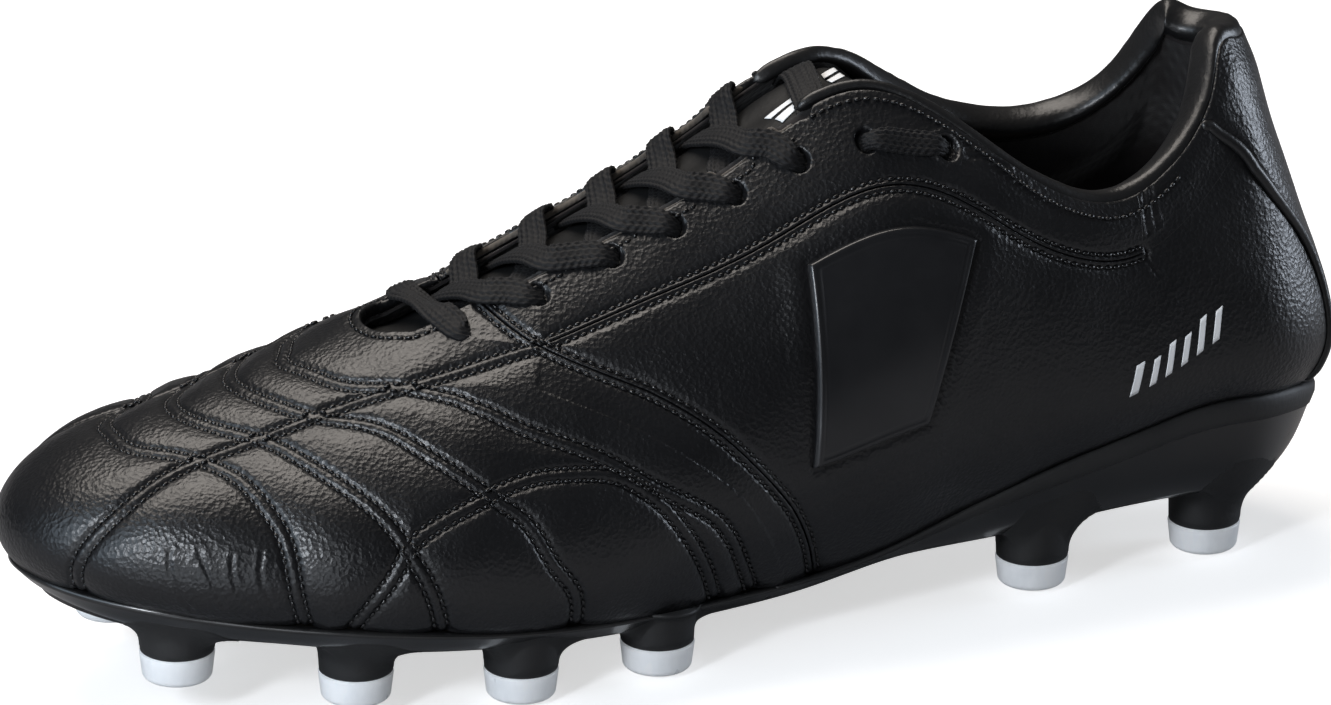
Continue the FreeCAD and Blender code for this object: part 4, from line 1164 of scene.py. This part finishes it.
def tongue_surface(along, across):
    rows = [base_row(-75, (57.8, 61.4, 62.0)), base_row(-67, (60.0, 62.9, 63.9))]
    rows += [tongue_row(station, rise) for station, rise in TONGUE_STATIONS]
    wide = np.stack([spline(row, across) for row in rows])
    grid = np.stack([spline(wide[:, j], along) for j in range(across)], axis=1)
    ahead = np.gradient(grid, axis=0)
    side = np.gradient(grid, axis=1)
    return grid, unit(np.cross(ahead, side))


TONGUE_ROWS, TONGUE_COLUMNS = 220, 90
TONGUE_GRID, TONGUE_UP = tongue_surface(TONGUE_ROWS, TONGUE_COLUMNS)


TONGUE_ROLL = 3.0 * MM         # width of its rounded edge
TONGUE_SEAM = 5.0 * MM         # from its edge to the line pressed in beside it


def build_tongue():
    """Cover, foam and lining, each between two depths below the tongue's surface."""
    grid, up = TONGUE_GRID, TONGUE_UP
    distance = edge_distance(grid, ALL_EDGES)
    roll = 1 - np.minimum(distance / TONGUE_ROLL, 1.0)
    top = -0.5 * MM + 2.0 * MM * (1 - np.sqrt(1 - roll ** 2))
    top += 0.35 * MM * bump(distance - TONGUE_SEAM, 0.5 * MM) - 0.1 * MM * waves(grid, 14 * MM, 12)
    # (piece, depth of its outer and inner face, material, slot, fill where it is padded)
    parts = (("tongue_cover", top, top + 0.9 * MM, tongue_leather, "tongue_leather", 0.7),
             ("tongue_foam", top + 1.0 * MM, np.maximum(top + 1.2 * MM, 3.3 * MM), foam_open, "foam", 0.7),
             ("tongue_lining", np.maximum(top + 1.3 * MM, 3.4 * MM),
              np.maximum(top + 1.9 * MM, 4.1 * MM), lining_cloth, "lining_fabric", None))
    for name, high, low, material, slot_name, fill in parts:
        outer, inner = (grid - up * depth[..., None] for depth in (high, low))
        sheet = make_object(name, *closed_sheet(outer, inner), material)
        register(sheet, slot_name, name, body="tongue")


# (along, across) shares of the tongue at the middle of each bar, and half a bar's size.
TONGUE_MARKS = [(0.785, 0.33), (0.785, 0.43), (0.93, 0.48), (0.93, 0.58)]
BAR_LONG, BAR_WIDE, BAR_NEAR = 0.03, 0.055, 0.008


def on_tongue(flat):
    """Places just above the tongue's cover at (along, across) shares, and their normals."""
    last = np.array([TONGUE_ROWS - 1, TONGUE_COLUMNS - 1])
    index = np.clip(flat * last, 0, last).astype(int)
    past = flat * last - index
    row, column = index[..., 0], index[..., 1]
    corner = TONGUE_GRID[row, column]
    here = (corner + past[..., :1] * (TONGUE_GRID[np.minimum(row + 1, last[0]), column] - corner)
            + past[..., 1:] * (TONGUE_GRID[row, np.minimum(column + 1, last[1])] - corner))
    up = TONGUE_UP[row, column]
    return here + up * (0.62 * MM), up


def build_tongue_marks():
    """Short plain bars printed near the tongue's top, where a mark would be."""
    for number, (along, across) in enumerate(TONGUE_MARKS, 1):
        corners = [(along - BAR_LONG, across - BAR_WIDE), (along - BAR_LONG, across + BAR_NEAR),
                   (along + BAR_LONG, across + BAR_WIDE), (along + BAR_LONG, across - BAR_NEAR)]
        slanted_bar(f"tongue_mark_{number}", corners, "tongue", 0.0, on_tongue)


# ---------------------------------------------------------------- laces
LACE_WIDTH = 6.0 * MM
LACE_THICK = 1.25 * MM
LACE_RIBS = 5
LACE_STEP = 0.3 * MM           # spacing of the rings along a lace
PINCH_LENGTH = 6.0 * MM        # a lace gets narrower and thicker this far before its eyelet
CHEVRON_PITCH = 1.5 * MM


def lace(name, path, normals, node, narrow_start=False, narrow_end=True, width=LACE_WIDTH):
    """A flat braid along a path: ribs run along it, with a herringbone pattern across each."""
    path = np.array(path)
    knots = np.concatenate([[0.0], np.cumsum(np.linalg.norm(np.diff(path, axis=0), axis=1))])
    count = int(knots[-1] / LACE_STEP)
    around = 64
    middle = spline(path, count, knots)
    facing = unit(spline(normals, count, knots))
    ahead = unit(np.gradient(middle, axis=0))
    across = unit(np.cross(ahead, facing))
    facing = np.cross(across, ahead)
    run = np.linspace(0, knots[-1], count)
    pinch = np.zeros(count)
    if narrow_start:
        pinch = np.maximum(pinch, 1 - smooth(run, 0.5 * MM, PINCH_LENGTH))
    if narrow_end:
        pinch = np.maximum(pinch, smooth(run, knots[-1] - PINCH_LENGTH, knots[-1] - 0.5 * MM))
    half_width = width / 2 * (1 - 0.34 * pinch)
    half_thick = LACE_THICK / 2 * (1 + 0.9 * pinch)
    wide, tall = squared_circle(around, 0.75, 0.62)
    rib = np.abs(np.sin(wide * LACE_RIBS * math.pi / 2))
    lean = np.where(np.floor((wide + 1) * LACE_RIBS / 2) % 2 < 1, 1.0, -1.0)
    chevron = np.sin(2 * math.pi * (run[:, None] / CHEVRON_PITCH + lean * wide * 1.2))
    braiding = 0.26 * MM * (rib - 0.6) + 0.13 * MM * chevron * (1 - rib * 0.2)
    out_wide, out_tall = unit(np.stack([wide * 0.35, tall], axis=1)).T
    grid = swept(middle, across, facing, wide * half_width[:, None] + braiding * out_wide,
                 tall * half_thick[:, None] + braiding * out_tall)
    strap = make_object(name, grid, tube_faces(count, around), braid)
    register(strap, "lace_braid", node)


OVER = -(LACE_THICK / 2 + 0.2 * MM)     # depth of a lace that lies on the leather


def under(station):
    """Depth of a lace that lies under the facing."""
    return lining_depth(station, 1.0) + LINING + LACE_THICK / 2 + LACE_GAP


def lace_run(places):
    """Points and outward normals of (station, height, depth) places."""
    station, height, depth = np.array(places, float).T
    here, outward, _ = form(station, height)
    return list(here - outward * depth[:, None]), list(outward)


def dive(sign, row):
    """The last places of a lace, going down into its eyelet."""
    station, height = EYELETS[row]
    return [(sign * (station - 0.05), height + 0.012, OVER + 0.1 * MM),
            (sign * (station + 0.01), height - 0.002, 1.3 * MM)]


RIM_STEP = {1: 0.3, -1: 0.13}  # how far before its eyelet a strap crosses the rim, on each side
FIRST_ROW = 0.75               # share of that step in the first row
START_STEP = {1: -0.02, -1: 0.04}       # from the eyelet's station to where the strap comes up


def crossing(name, low_sign, row, lift):
    """A strap from under one facing, over the tongue, into the next eyelet of the other one."""
    high_sign = -low_sign
    low = low_sign * (EYELETS[row][0] + START_STEP[low_sign])
    station = high_sign * EYELETS[row + 1][0]
    step = -RIM_STEP[high_sign] * high_sign * (FIRST_ROW if row == 0 else 1.0)
    depth = float(under(low))
    start, start_normals = lace_run([(low, float(below_rim(low, 4.0 * MM)), depth + 0.1 * MM),
                                     (low, 1.0, depth + 0.3 * MM)])
    end, end_normals = lace_run([(station + step, 1.0, OVER),
                                 (station + step / 2, 0.962, OVER)] + dive(high_sign, row + 1))
    normal = unit(start_normals[1] + end_normals[0])
    shares = (0.25, 0.5, 0.75)
    across = [start[1] + (end[0] - start[1]) * k + normal * lift * math.sin(math.pi * k)
              for k in shares]
    between_normals = [unit(start_normals[1] * (1 - k) + end_normals[0] * k + normal)
                       for k in shares]
    lace(name, start + across + end, start_normals + between_normals + end_normals,
         f"lace_crossing_{row + 1}")


LIFT = 1.45 * MM               # upper straps rise and lower ones sink by this at the middle
TOP_STATIONS = (6.62, -6.78)


def build_laces():
    bar_places = dive(1, 0)[::-1] + [(4.13, 0.96, OVER), (4.1, 1.0, OVER)]
    near, near_normals = lace_run(bar_places)
    far, far_normals = lace_run([(-station, *rest) for station, *rest in bar_places[::-1]])
    across = [near[-1] + (far[0] - near[-1]) * k for k in (0.3, 0.7)]
    lace("lace_bar", near + across + far, near_normals + [np.array([0, 0, 1.0])] * 2 + far_normals,
         "lace_bar", narrow_start=True)
    for row in range(LACE_ROWS - 1):
        crossing(f"lace_to_medial_{row + 1}", 1, row, -LIFT)
        crossing(f"lace_to_lateral_{row + 1}", -1, row, LIFT)
    ends = [[(s, float(below_rim(s, 4.5 * MM)), float(under(s))), (s, 1.0, float(under(s)))]
            for s in TOP_STATIONS]
    near, near_normals = lace_run(ends[0])
    far, far_normals = lace_run(ends[1][::-1])
    normal = unit(near_normals[1] + far_normals[0])
    middle = (near[1] + far[0]) * 0.5 + np.array([0, 0, 1.4 * MM])
    lace("lace_top", near + [middle] + far, near_normals + [normal] + far_normals, "lace_top",
         narrow_end=False, width=6.6 * MM)
    for side, sign in SIDES:
        (start, low), (end, high) = EYELETS[LACE_ROWS:]
        places = [(sign * start, low, 1.0 * MM)]
        for k in np.linspace(0.12, 0.88, 4):
            sag = 0.012 * math.sin(math.pi * k)
            places.append((sign * (start + (end - start) * k), low + (high - low) * k - sag, OVER))
        path, normals = lace_run(places + [(sign * end, high, 1.0 * MM)])
        name = f"lace_lock_{side}"
        lace(name, path, normals, name, narrow_start=True, width=5.2 * MM)


# ---------------------------------------------------------------- sole
LEDGE_GAP = 0.15 * MM
# The side wall, as (distance outside the feather edge, share of the way down to the underside).
WALL_TOP = [(0.0, 0.0), (0.35, 0.025), (0.55, 0.07)]
WALL = [(0.6, 0.15), (-0.84, 0.42), (-2.94, 0.76), (-7.7, 1.12)]


def wall_profile():
    points = np.array(WALL)
    steps = np.linalg.norm(np.diff(points * (1, 10), axis=0), axis=1)
    fine = spline(points, 40, np.concatenate([[0.0], np.cumsum(steps)]))
    last = np.interp(1.0, fine[:, 1], fine[:, 0])
    fine = fine[fine[:, 1] < 0.985][::2]
    rows = np.concatenate([WALL_TOP, fine, [(last, 1.0)]])
    return rows[:, 0] * MM, rows[:, 1]


WALL_OUT, WALL_DROP = wall_profile()


def edge_of_sole(station):
    """Points of the feather edge and the directions straight out from it."""
    here = level_points(station)[:, 0]
    along = level_points(station + 0.05)[:, 0] - level_points(station - 0.05)[:, 0]
    out = np.stack([along[:, 1], -along[:, 0], 0 * along[:, 0]], axis=1)
    return here, unit(out)


def wall_height(x, drop):
    ledge = feather_height(x) - LEDGE_GAP
    return ledge - (ledge - underside_height(x)) * drop


def wall_row(here, out, offset, drop):
    row = here + out * offset
    row[:, 2] = wall_height(here[:, 0], drop)
    return row


def outline_pairs(count):
    """Stations of the lateral and the medial edge that share their x, from toe to heel."""
    fine = np.linspace(-2.0, 15.0, 1701)
    x = level_points(fine)[:, 0, 0]
    toe, heel = fine[np.argmin(x)], fine[np.argmax(x)]
    sides = [np.linspace(toe, heel, 1200), np.linspace(toe, heel - STATIONS, 1200)]
    runs = [level_points(side)[:, 0, 0] for side in sides]
    middle, half = (runs[0][-1] + runs[0][0]) / 2, (runs[0][-1] - runs[0][0]) / 2
    places = middle - half * np.cos(np.linspace(0, math.pi, count))
    return [np.interp(places, run, side) for run, side in zip(runs, sides)]


def sole_ring(count):
    """Feather edge all round the sole, and the directions out from it."""
    lateral, medial = outline_pairs(count)
    return edge_of_sole(np.concatenate([lateral, medial[-2:0:-1]]))


def cap(ring, first, count, columns, height):
    """Vertices and faces that close a ring of the sole across its width."""
    length = 2 * count - 2
    lateral = np.arange(count)
    medial = (length - lateral) % length
    share = np.linspace(0, 1, columns)[None, 1:-1, None]
    inner = ring[lateral][:, None] * (1 - share) + ring[medial][:, None] * share
    inner[..., 2] = height(inner)
    index = first + np.tile(lateral[:, None], (1, columns))
    index[:, -1] = first + medial
    new = first + length + np.arange((count - 2) * (columns - 2)).reshape(count - 2, columns - 2)
    index[1:-1, 1:-1] = new
    faces = []
    for i in range(count - 1):
        for j in range(columns - 1):
            quad = [index[i, j], index[i + 1, j], index[i + 1, j + 1], index[i, j + 1]]
            face = [int(v) for k, v in enumerate(quad) if v not in quad[:k]]
            if len(face) > 2:
                faces.append(face)
    return inner[1:-1].reshape(-1, 3), faces


BAR_PLACES = (-102, -92, -68, -60, -36, -28)    # x in mm where the bars cross the middle


def underside_relief(points):
    """Leaning bars and a spine that stand out from the underside."""
    x, y = points[..., 0], points[..., 1]
    waist = smooth(x, -35 * MM, -5 * MM) * (1 - smooth(x, 60 * MM, 85 * MM))
    spine = 1.1 * MM * bump(y - 0.5 * MM, 5 * MM) * waist
    bars = sum(bump(x - place * MM + 0.72 * np.abs(y), 1.1 * MM) for place in BAR_PLACES)
    inside = 1 - smooth(np.abs(y), 14 * MM, 20 * MM)
    return -spine - 0.55 * MM * np.minimum(bars, 1.0) * inside


def bed(points):
    """Height of the sole's floor inside its rim."""
    return underside_height(points[..., 0]) + PLATE


def capped_rings(name, rows, count, end_columns, end_height, start_height, material):
    """A solid of rings round the sole, closed across the first ring and across the last."""
    length = len(rows[0])
    end_vertices, end_faces = cap(rows[-1], (len(rows) - 1) * length, count, end_columns, end_height)
    start_vertices, start_faces = cap(rows[0], 0, count, 4, start_height)
    shift = (len(rows) - 1) * length + len(end_vertices)
    start_faces = [[v if v < length else v + shift for v in face][::-1] for face in start_faces]
    faces = grid_faces(len(rows), length, around=True).tolist() + end_faces + start_faces
    return make_object(name, np.concatenate(rows + [end_vertices, start_vertices]), faces, material)


def build_outsole():
    count = 300
    here, out = sole_ring(count)
    floor_edge = wall_row(here, out, -RIM, 0.0)
    rim = floor_edge.copy()
    floor_edge[:, 2] = underside_height(here[:, 0]) + PLATE
    rows = [floor_edge, rim]
    rows += [wall_row(here, out, offset, drop) for offset, drop in zip(WALL_OUT, WALL_DROP)]

    def low(points):
        return underside_height(points[..., 0]) + underside_relief(points)

    sole = capped_rings("outsole", rows, count, 60, low, bed, sole_gloss)
    register(sole, "outsole_gloss", "outsole")


BAND_FRONT = 2 * MM            # x where the heel band starts
BAND_SHARES = (1.0, 0.97, 0.9, 0.7, 0.45, 0.2, 0.06, 0.0)      # of its height, from its lower edge


def build_heel_band():
    """A matte band that lies on the upper part of the heel cup's wall."""
    fine = np.linspace(6.0, 20.0, 1401)
    behind = fine[level_points(fine)[:, 0, 0] > BAND_FRONT]
    stations = np.linspace(behind[0], behind[-1], 420)
    here, out = edge_of_sole(stations)
    deep = 0.3 * MM + (BAND_HEIGHT - 0.3 * MM) * smooth(here[:, 0], BAND_FRONT, 0.098)
    full = feather_height(here[:, 0]) - LEDGE_GAP - underside_height(here[:, 0])
    outer, inner = [], []
    for share in BAND_SHARES:
        drop = deep * share / full
        offset = np.interp(drop, WALL_DROP, WALL_OUT)
        round_off = 0.35 * MM * (1 - bump(np.minimum(share, 1 - share), 0.05))
        for rows, extra in ((outer, round_off), (inner, -1.0 * MM)):
            row = here + out * (offset + extra)[:, None]
            row[:, 2] = feather_height(here[:, 0]) - LEDGE_GAP - deep * share + 0.1 * MM
            rows.append(row)
    grids = [np.stack(rows, axis=1) for rows in (outer, inner)]
    band = make_object("heel_band", *closed_sheet(*grids), sole_matte)
    register(band, "sole_matte", "heel_band")


# ---------------------------------------------------------------- sockliner
# The liner's edge: (mm inside its outline, share of its thickness, share of the raised edge).
LINER_EDGE = [(1.2, 0.0, 0.0), (0.4, 0.03, 0.0), (0.1, 0.2, 0.0), (0.05, 0.55, 0.4), (0.1, 0.8, 0.85),
              (0.5, 0.97, 0.98), (1.3, 1.0, 0.96), (2.2, 0.97, 0.8), (3.2, 0.93, 0.45),
              (4.6, 0.92, 0.18), (6.5, 0.92, 0.04)]
LINER_INSET = RIM + 0.9 * MM
HEEL_CUP = 6.0 * MM


def liner_floor(points):
    return bed(points) + LINER_LOW


def liner_top(points):
    edge = np.linspace(0, 1, points.shape[1] + 2)[None, 1:-1]
    return liner_floor(points) + LINER_THICK * (0.92 + 0.05 * np.sin(math.pi * edge))


def build_sockliner():
    """A soft footbed: domed forefoot, rounded edge, raised round the heel."""
    count = 220
    here, out = sole_ring(count)
    rows = []
    for inside, share, rise in LINER_EDGE:
        row = here - out * (LINER_INSET + inside * MM)
        cup = HEEL_CUP * smooth(row[:, 0], 0.04, 0.1)
        row[:, 2] = liner_floor(row) + LINER_THICK * share + cup * rise
        rows.append(row)
    liner = capped_rings("sockliner_soft", rows, count, 56, liner_top, liner_floor, insole_cloth)
    register(liner, "sockliner_cloth", "sockliner", body="sockliner")


# ---------------------------------------------------------------- studs
# (x, distance from the middle, height of the tip's foot) of the studs of one side, in mm.
STUDS = [(-116, 18.5, 7.0), (-83, 31.0, 2.3), (-50, 37.0, 0.0), (-19, 34.0, 0.0),
         (71, 21.0, 0.0), (113, 16.5, 0.0)]
TIP_RADIUS = 7.0 * MM
TIP_HEIGHT = 6.0 * MM
NECK_RADIUS = 7.35 * MM
EDGE_DENSE = edge_of_sole(np.linspace(0, STATIONS, 1500, endpoint=False))


def inside_edge(plan):
    """How far places in plan lie inside the feather edge."""
    here, out = EDGE_DENSE
    away = plan[:, None] - here[None, :, :2]
    nearest = np.argmin((away ** 2).sum(-1), axis=1)
    pick = away[np.arange(len(plan)), nearest]
    return -(pick * out[nearest, :2]).sum(-1)


def plate_bottom(plan):
    """Height of the sole's lower face over places in plan."""
    inset = inside_edge(plan)
    drop = np.interp(inset, -WALL_OUT[3:], WALL_DROP[3:])
    return wall_height(plan[:, 0], drop)


CORNER = 1.5 * MM              # height of the tip's rounded lower corner
AXIS = 1e-5                    # radius of a ring that closes a turned body on its axis


def build_studs():
    for side, sign in (("lateral", -1), ("medial", 1)):
        for number, (x, reach, ground) in enumerate(STUDS, start=1):
            foot = np.array([x, sign * reach, ground]) * MM
            build_stud_tip(f"stud_tip_{side}_{number}", foot)
            build_stud_base(f"stud_base_{side}_{number}", foot + np.array([0, 0, TIP_HEIGHT]))


def build_stud_tip(name, foot):
    """A turned tip that widens upward, with a rounded lower corner."""
    around = 96
    profile = [(AXIS, 0.0), (3.0 * MM, 0.0)]
    profile += [(TIP_RADIUS - 1.9 * MM * (1 - math.sin(t)), CORNER * (1 - math.cos(t)))
                for t in np.linspace(0, math.pi / 2, 9)]
    profile += [(TIP_RADIUS + 0.55 * MM * k, CORNER + (TIP_HEIGHT - CORNER) * k) for k in (0.3, 0.6, 0.94)]
    profile += [(TIP_RADIUS + 0.35 * MM, TIP_HEIGHT), (AXIS, TIP_HEIGHT)]
    rings = np.array([[(r * math.cos(t), r * math.sin(t), z) for t in around_circle(around)]
                      for r, z in profile])
    tip = make_object(name, rings + foot, tube_faces(len(profile), around), tip_clear)
    register(tip, "stud_tip_clear", name)


def build_stud_base(name, joint):
    """Stud base with a concave flare that runs into the sole's lower face."""
    around = 120
    rounds = 12
    turn = around_circle(around)
    out = np.stack([np.cos(turn), np.sin(turn)], axis=1)

    def plan(radius):
        return joint[:2] + out * radius[:, None]

    def ring(radius, height):
        return np.column_stack([plan(radius), np.broadcast_to(height, around)])

    flare = (5.0 + 2.0 * np.cos(turn)) * MM
    for _ in range(rounds):    # shortens the flare where the sole is narrow, then smooths it
        short = inside_edge(plan(NECK_RADIUS + flare)) < 1.2 * MM
        flare = np.where(short, np.maximum(flare - 0.5 * MM, 1.0 * MM), flare)
    for _ in range(rounds):
        flare = (np.roll(flare, 1) + 2 * flare + np.roll(flare, -1)) / 4
    neck = np.full(around, NECK_RADIUS)
    clear = plate_bottom(plan(neck)) - joint[2] - 1.0 * MM
    tall = np.minimum(flare * 1.35, clear)
    rows = [ring(neck - 0.3 * MM, joint[2] + 0.02 * MM), ring(neck, joint[2] + 0.25 * MM)]
    start = plate_bottom(plan(neck)) - tall
    rows += [ring(neck + 0.15 * MM * share, joint[2] + (start - joint[2]) * share) for share in (0.35, 0.7)]
    for angle in np.linspace(0, math.pi / 2, 14):
        radius = neck + 0.2 * MM + flare * (1 - math.cos(angle))
        rows.append(ring(radius, plate_bottom(plan(radius)) - tall * (1 - math.sin(angle))))
    rows.append(rows[-1] + np.array([0, 0, 1.0 * MM]))
    base = make_object(name, np.stack(rows), tube_faces(len(rows), around), sole_matte)
    register(base, "sole_matte", name)


# ---------------------------------------------------------------- inner parts that keep their shape
def finish_nodes():
    kept = {"toe_puff": stiff_board, "heel_counter": stiff_board, "bottom_filler": foam_open,
            "shank": steel, "insole_board": stiff_board}
    for name, material in kept.items():
        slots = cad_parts[name].data.materials
        slots.clear()
        slots.append(material)


# ---------------------------------------------------------------- stage
AZIMUTH, ELEVATION, ROLL = (math.radians(angle) for angle in (24.4, 20.2, 0.7))
DISTANCE = 1.9
LENS = 251.5
AIM = (-0.00131, 0.04976)      # right and up from under the middle of the shoe


def build_camera():
    back = Vector((-math.sin(AZIMUTH) * math.cos(ELEVATION), -math.cos(AZIMUTH) * math.cos(ELEVATION),
                   math.sin(ELEVATION)))
    right = Vector((math.cos(AZIMUTH), -math.sin(AZIMUTH), 0))
    up = back.cross(right)
    right, up = (right * math.cos(ROLL) + up * math.sin(ROLL), up * math.cos(ROLL) - right * math.sin(ROLL))
    camera = bpy.data.objects.new("camera", bpy.data.cameras.new("camera"))
    camera.data.lens = LENS
    camera.data.sensor_width = 36.0
    camera.data.clip_end = 20.0
    shift = Vector((CENTRE_X, CENTRE_Y, 0)) * MM
    bpy.context.scene.collection.objects.link(camera)
    camera.rotation_mode = "QUATERNION"
    turned = Matrix((right, up, back)).transposed().to_4x4()
    turned.translation = back * DISTANCE + right * AIM[0] + up * AIM[1] - shift
    camera.matrix_world = turned
    bpy.context.scene.camera = camera


MIDDLE = (0, 0, 0.05)
# (name, place, target, size, power, colour)
LIGHTS = [
    ("top_softbox", (-0.1, 0.35, 0.95), MIDDLE, (0.9, 0.6), 9.0, (1.0, 0.93, 0.86)),
    ("left_fill", (-1.0, -0.15, 0.5), MIDDLE, (0.7, 0.8), 4.2, (0.7, 0.85, 1.0)),
    ("front_strip", (-0.6, -1.2, 0.5), MIDDLE, (0.16, 0.6), 1.5, (0.9, 0.94, 1.0)),
    ("heel_rim", (0.95, -0.05, 0.22), (0.1, 0, 0.06), (0.3, 0.36), 3.2, (0.8, 0.88, 1.0)),
    ("low_bounce", (-0.25, -0.2, 0.012), (-0.11, -0.03, 0.035), (0.22, 0.035), 0.08,
     (0.85, 0.92, 1.0)),
    ("toe_glint", (-0.82, -0.52, 0.5), (-0.12, -0.03, 0.04), (0.15, 0.2), 5.5, (0.9, 0.94, 1.0)),
]


def area_light(name, place, target, size, power, colour):
    light = bpy.data.lights.new(name, "AREA")
    light.shape = "RECTANGLE"
    light.size, light.size_y = size
    light.energy = power
    light.color = colour
    lamp = bpy.data.objects.new(name, light)
    lamp.location = place
    lamp.rotation_mode = "QUATERNION"
    lamp.rotation_quaternion = (Vector(target) - Vector(place)).to_track_quat("-Z", "Y")
    bpy.context.scene.collection.objects.link(lamp)


def bright_floor():
    """Pale matt floor, a little brighter to the camera, as a lit studio sweep is."""
    nodes = Nodes("floor_pale")
    nodes.shader.inputs["Emission Color"].default_value = (1.0, 1.0, 1.0, 1.0)
    path = nodes.add("ShaderNodeLightPath")
    glow = nodes.span(path.outputs["Is Camera Ray"], 0.0, 0.6)
    nodes.join(glow, nodes.shader.inputs["Emission Strength"])
    grain = nodes.noise(30.0)
    pale = nodes.ramp(grain, [(0.3, (0.8, 0.8, 0.8)), (0.7, (0.82, 0.82, 0.82))])
    mixed = nodes.add("ShaderNodeMixRGB")
    mixed.inputs["Color1"].default_value = (0.3, 0.3, 0.31, 1.0)
    nodes.join(path.outputs["Is Camera Ray"], mixed.inputs["Fac"])
    nodes.join(pale, mixed.inputs["Color2"])
    return nodes.finish(mixed.outputs["Color"], nodes.span(grain, 0.6, 0.7))


def build_stage():
    floor = make_object("floor", [(-6, -6, 0), (6, -6, 0), (6, 6, 0), (-6, 6, 0)], [[0, 1, 2, 3]],
                        bright_floor())
    floor.location.z = -0.0004
    world = bpy.data.worlds.new("studio")
    bpy.context.scene.world = world
    world.use_nodes = True
    tree = world.node_tree
    sky = tree.nodes["Background"]
    path = tree.nodes.new("ShaderNodeLightPath")
    level = tree.nodes.new("ShaderNodeMapRange")
    level.inputs["To Min"].default_value = 0.06
    level.inputs["To Max"].default_value = 1.1
    tree.links.new(path.outputs["Is Camera Ray"], level.inputs["Value"])
    tree.links.new(level.outputs["Result"], sky.inputs["Strength"])
    sky.inputs["Color"].default_value = (0.96, 0.97, 1.0, 1.0)
    for light in LIGHTS:
        area_light(*light)
    bpy.context.scene.view_settings.view_transform = "Standard"


for build in (build_camera, build_panels, build_badges, build_heel_marks, build_stitching,
              build_linings, build_binding, build_tongue, build_tongue_marks, build_laces,
              build_outsole, build_heel_band, build_sockliner, build_studs, build_trim,
              finish_nodes, build_stage):
    build()
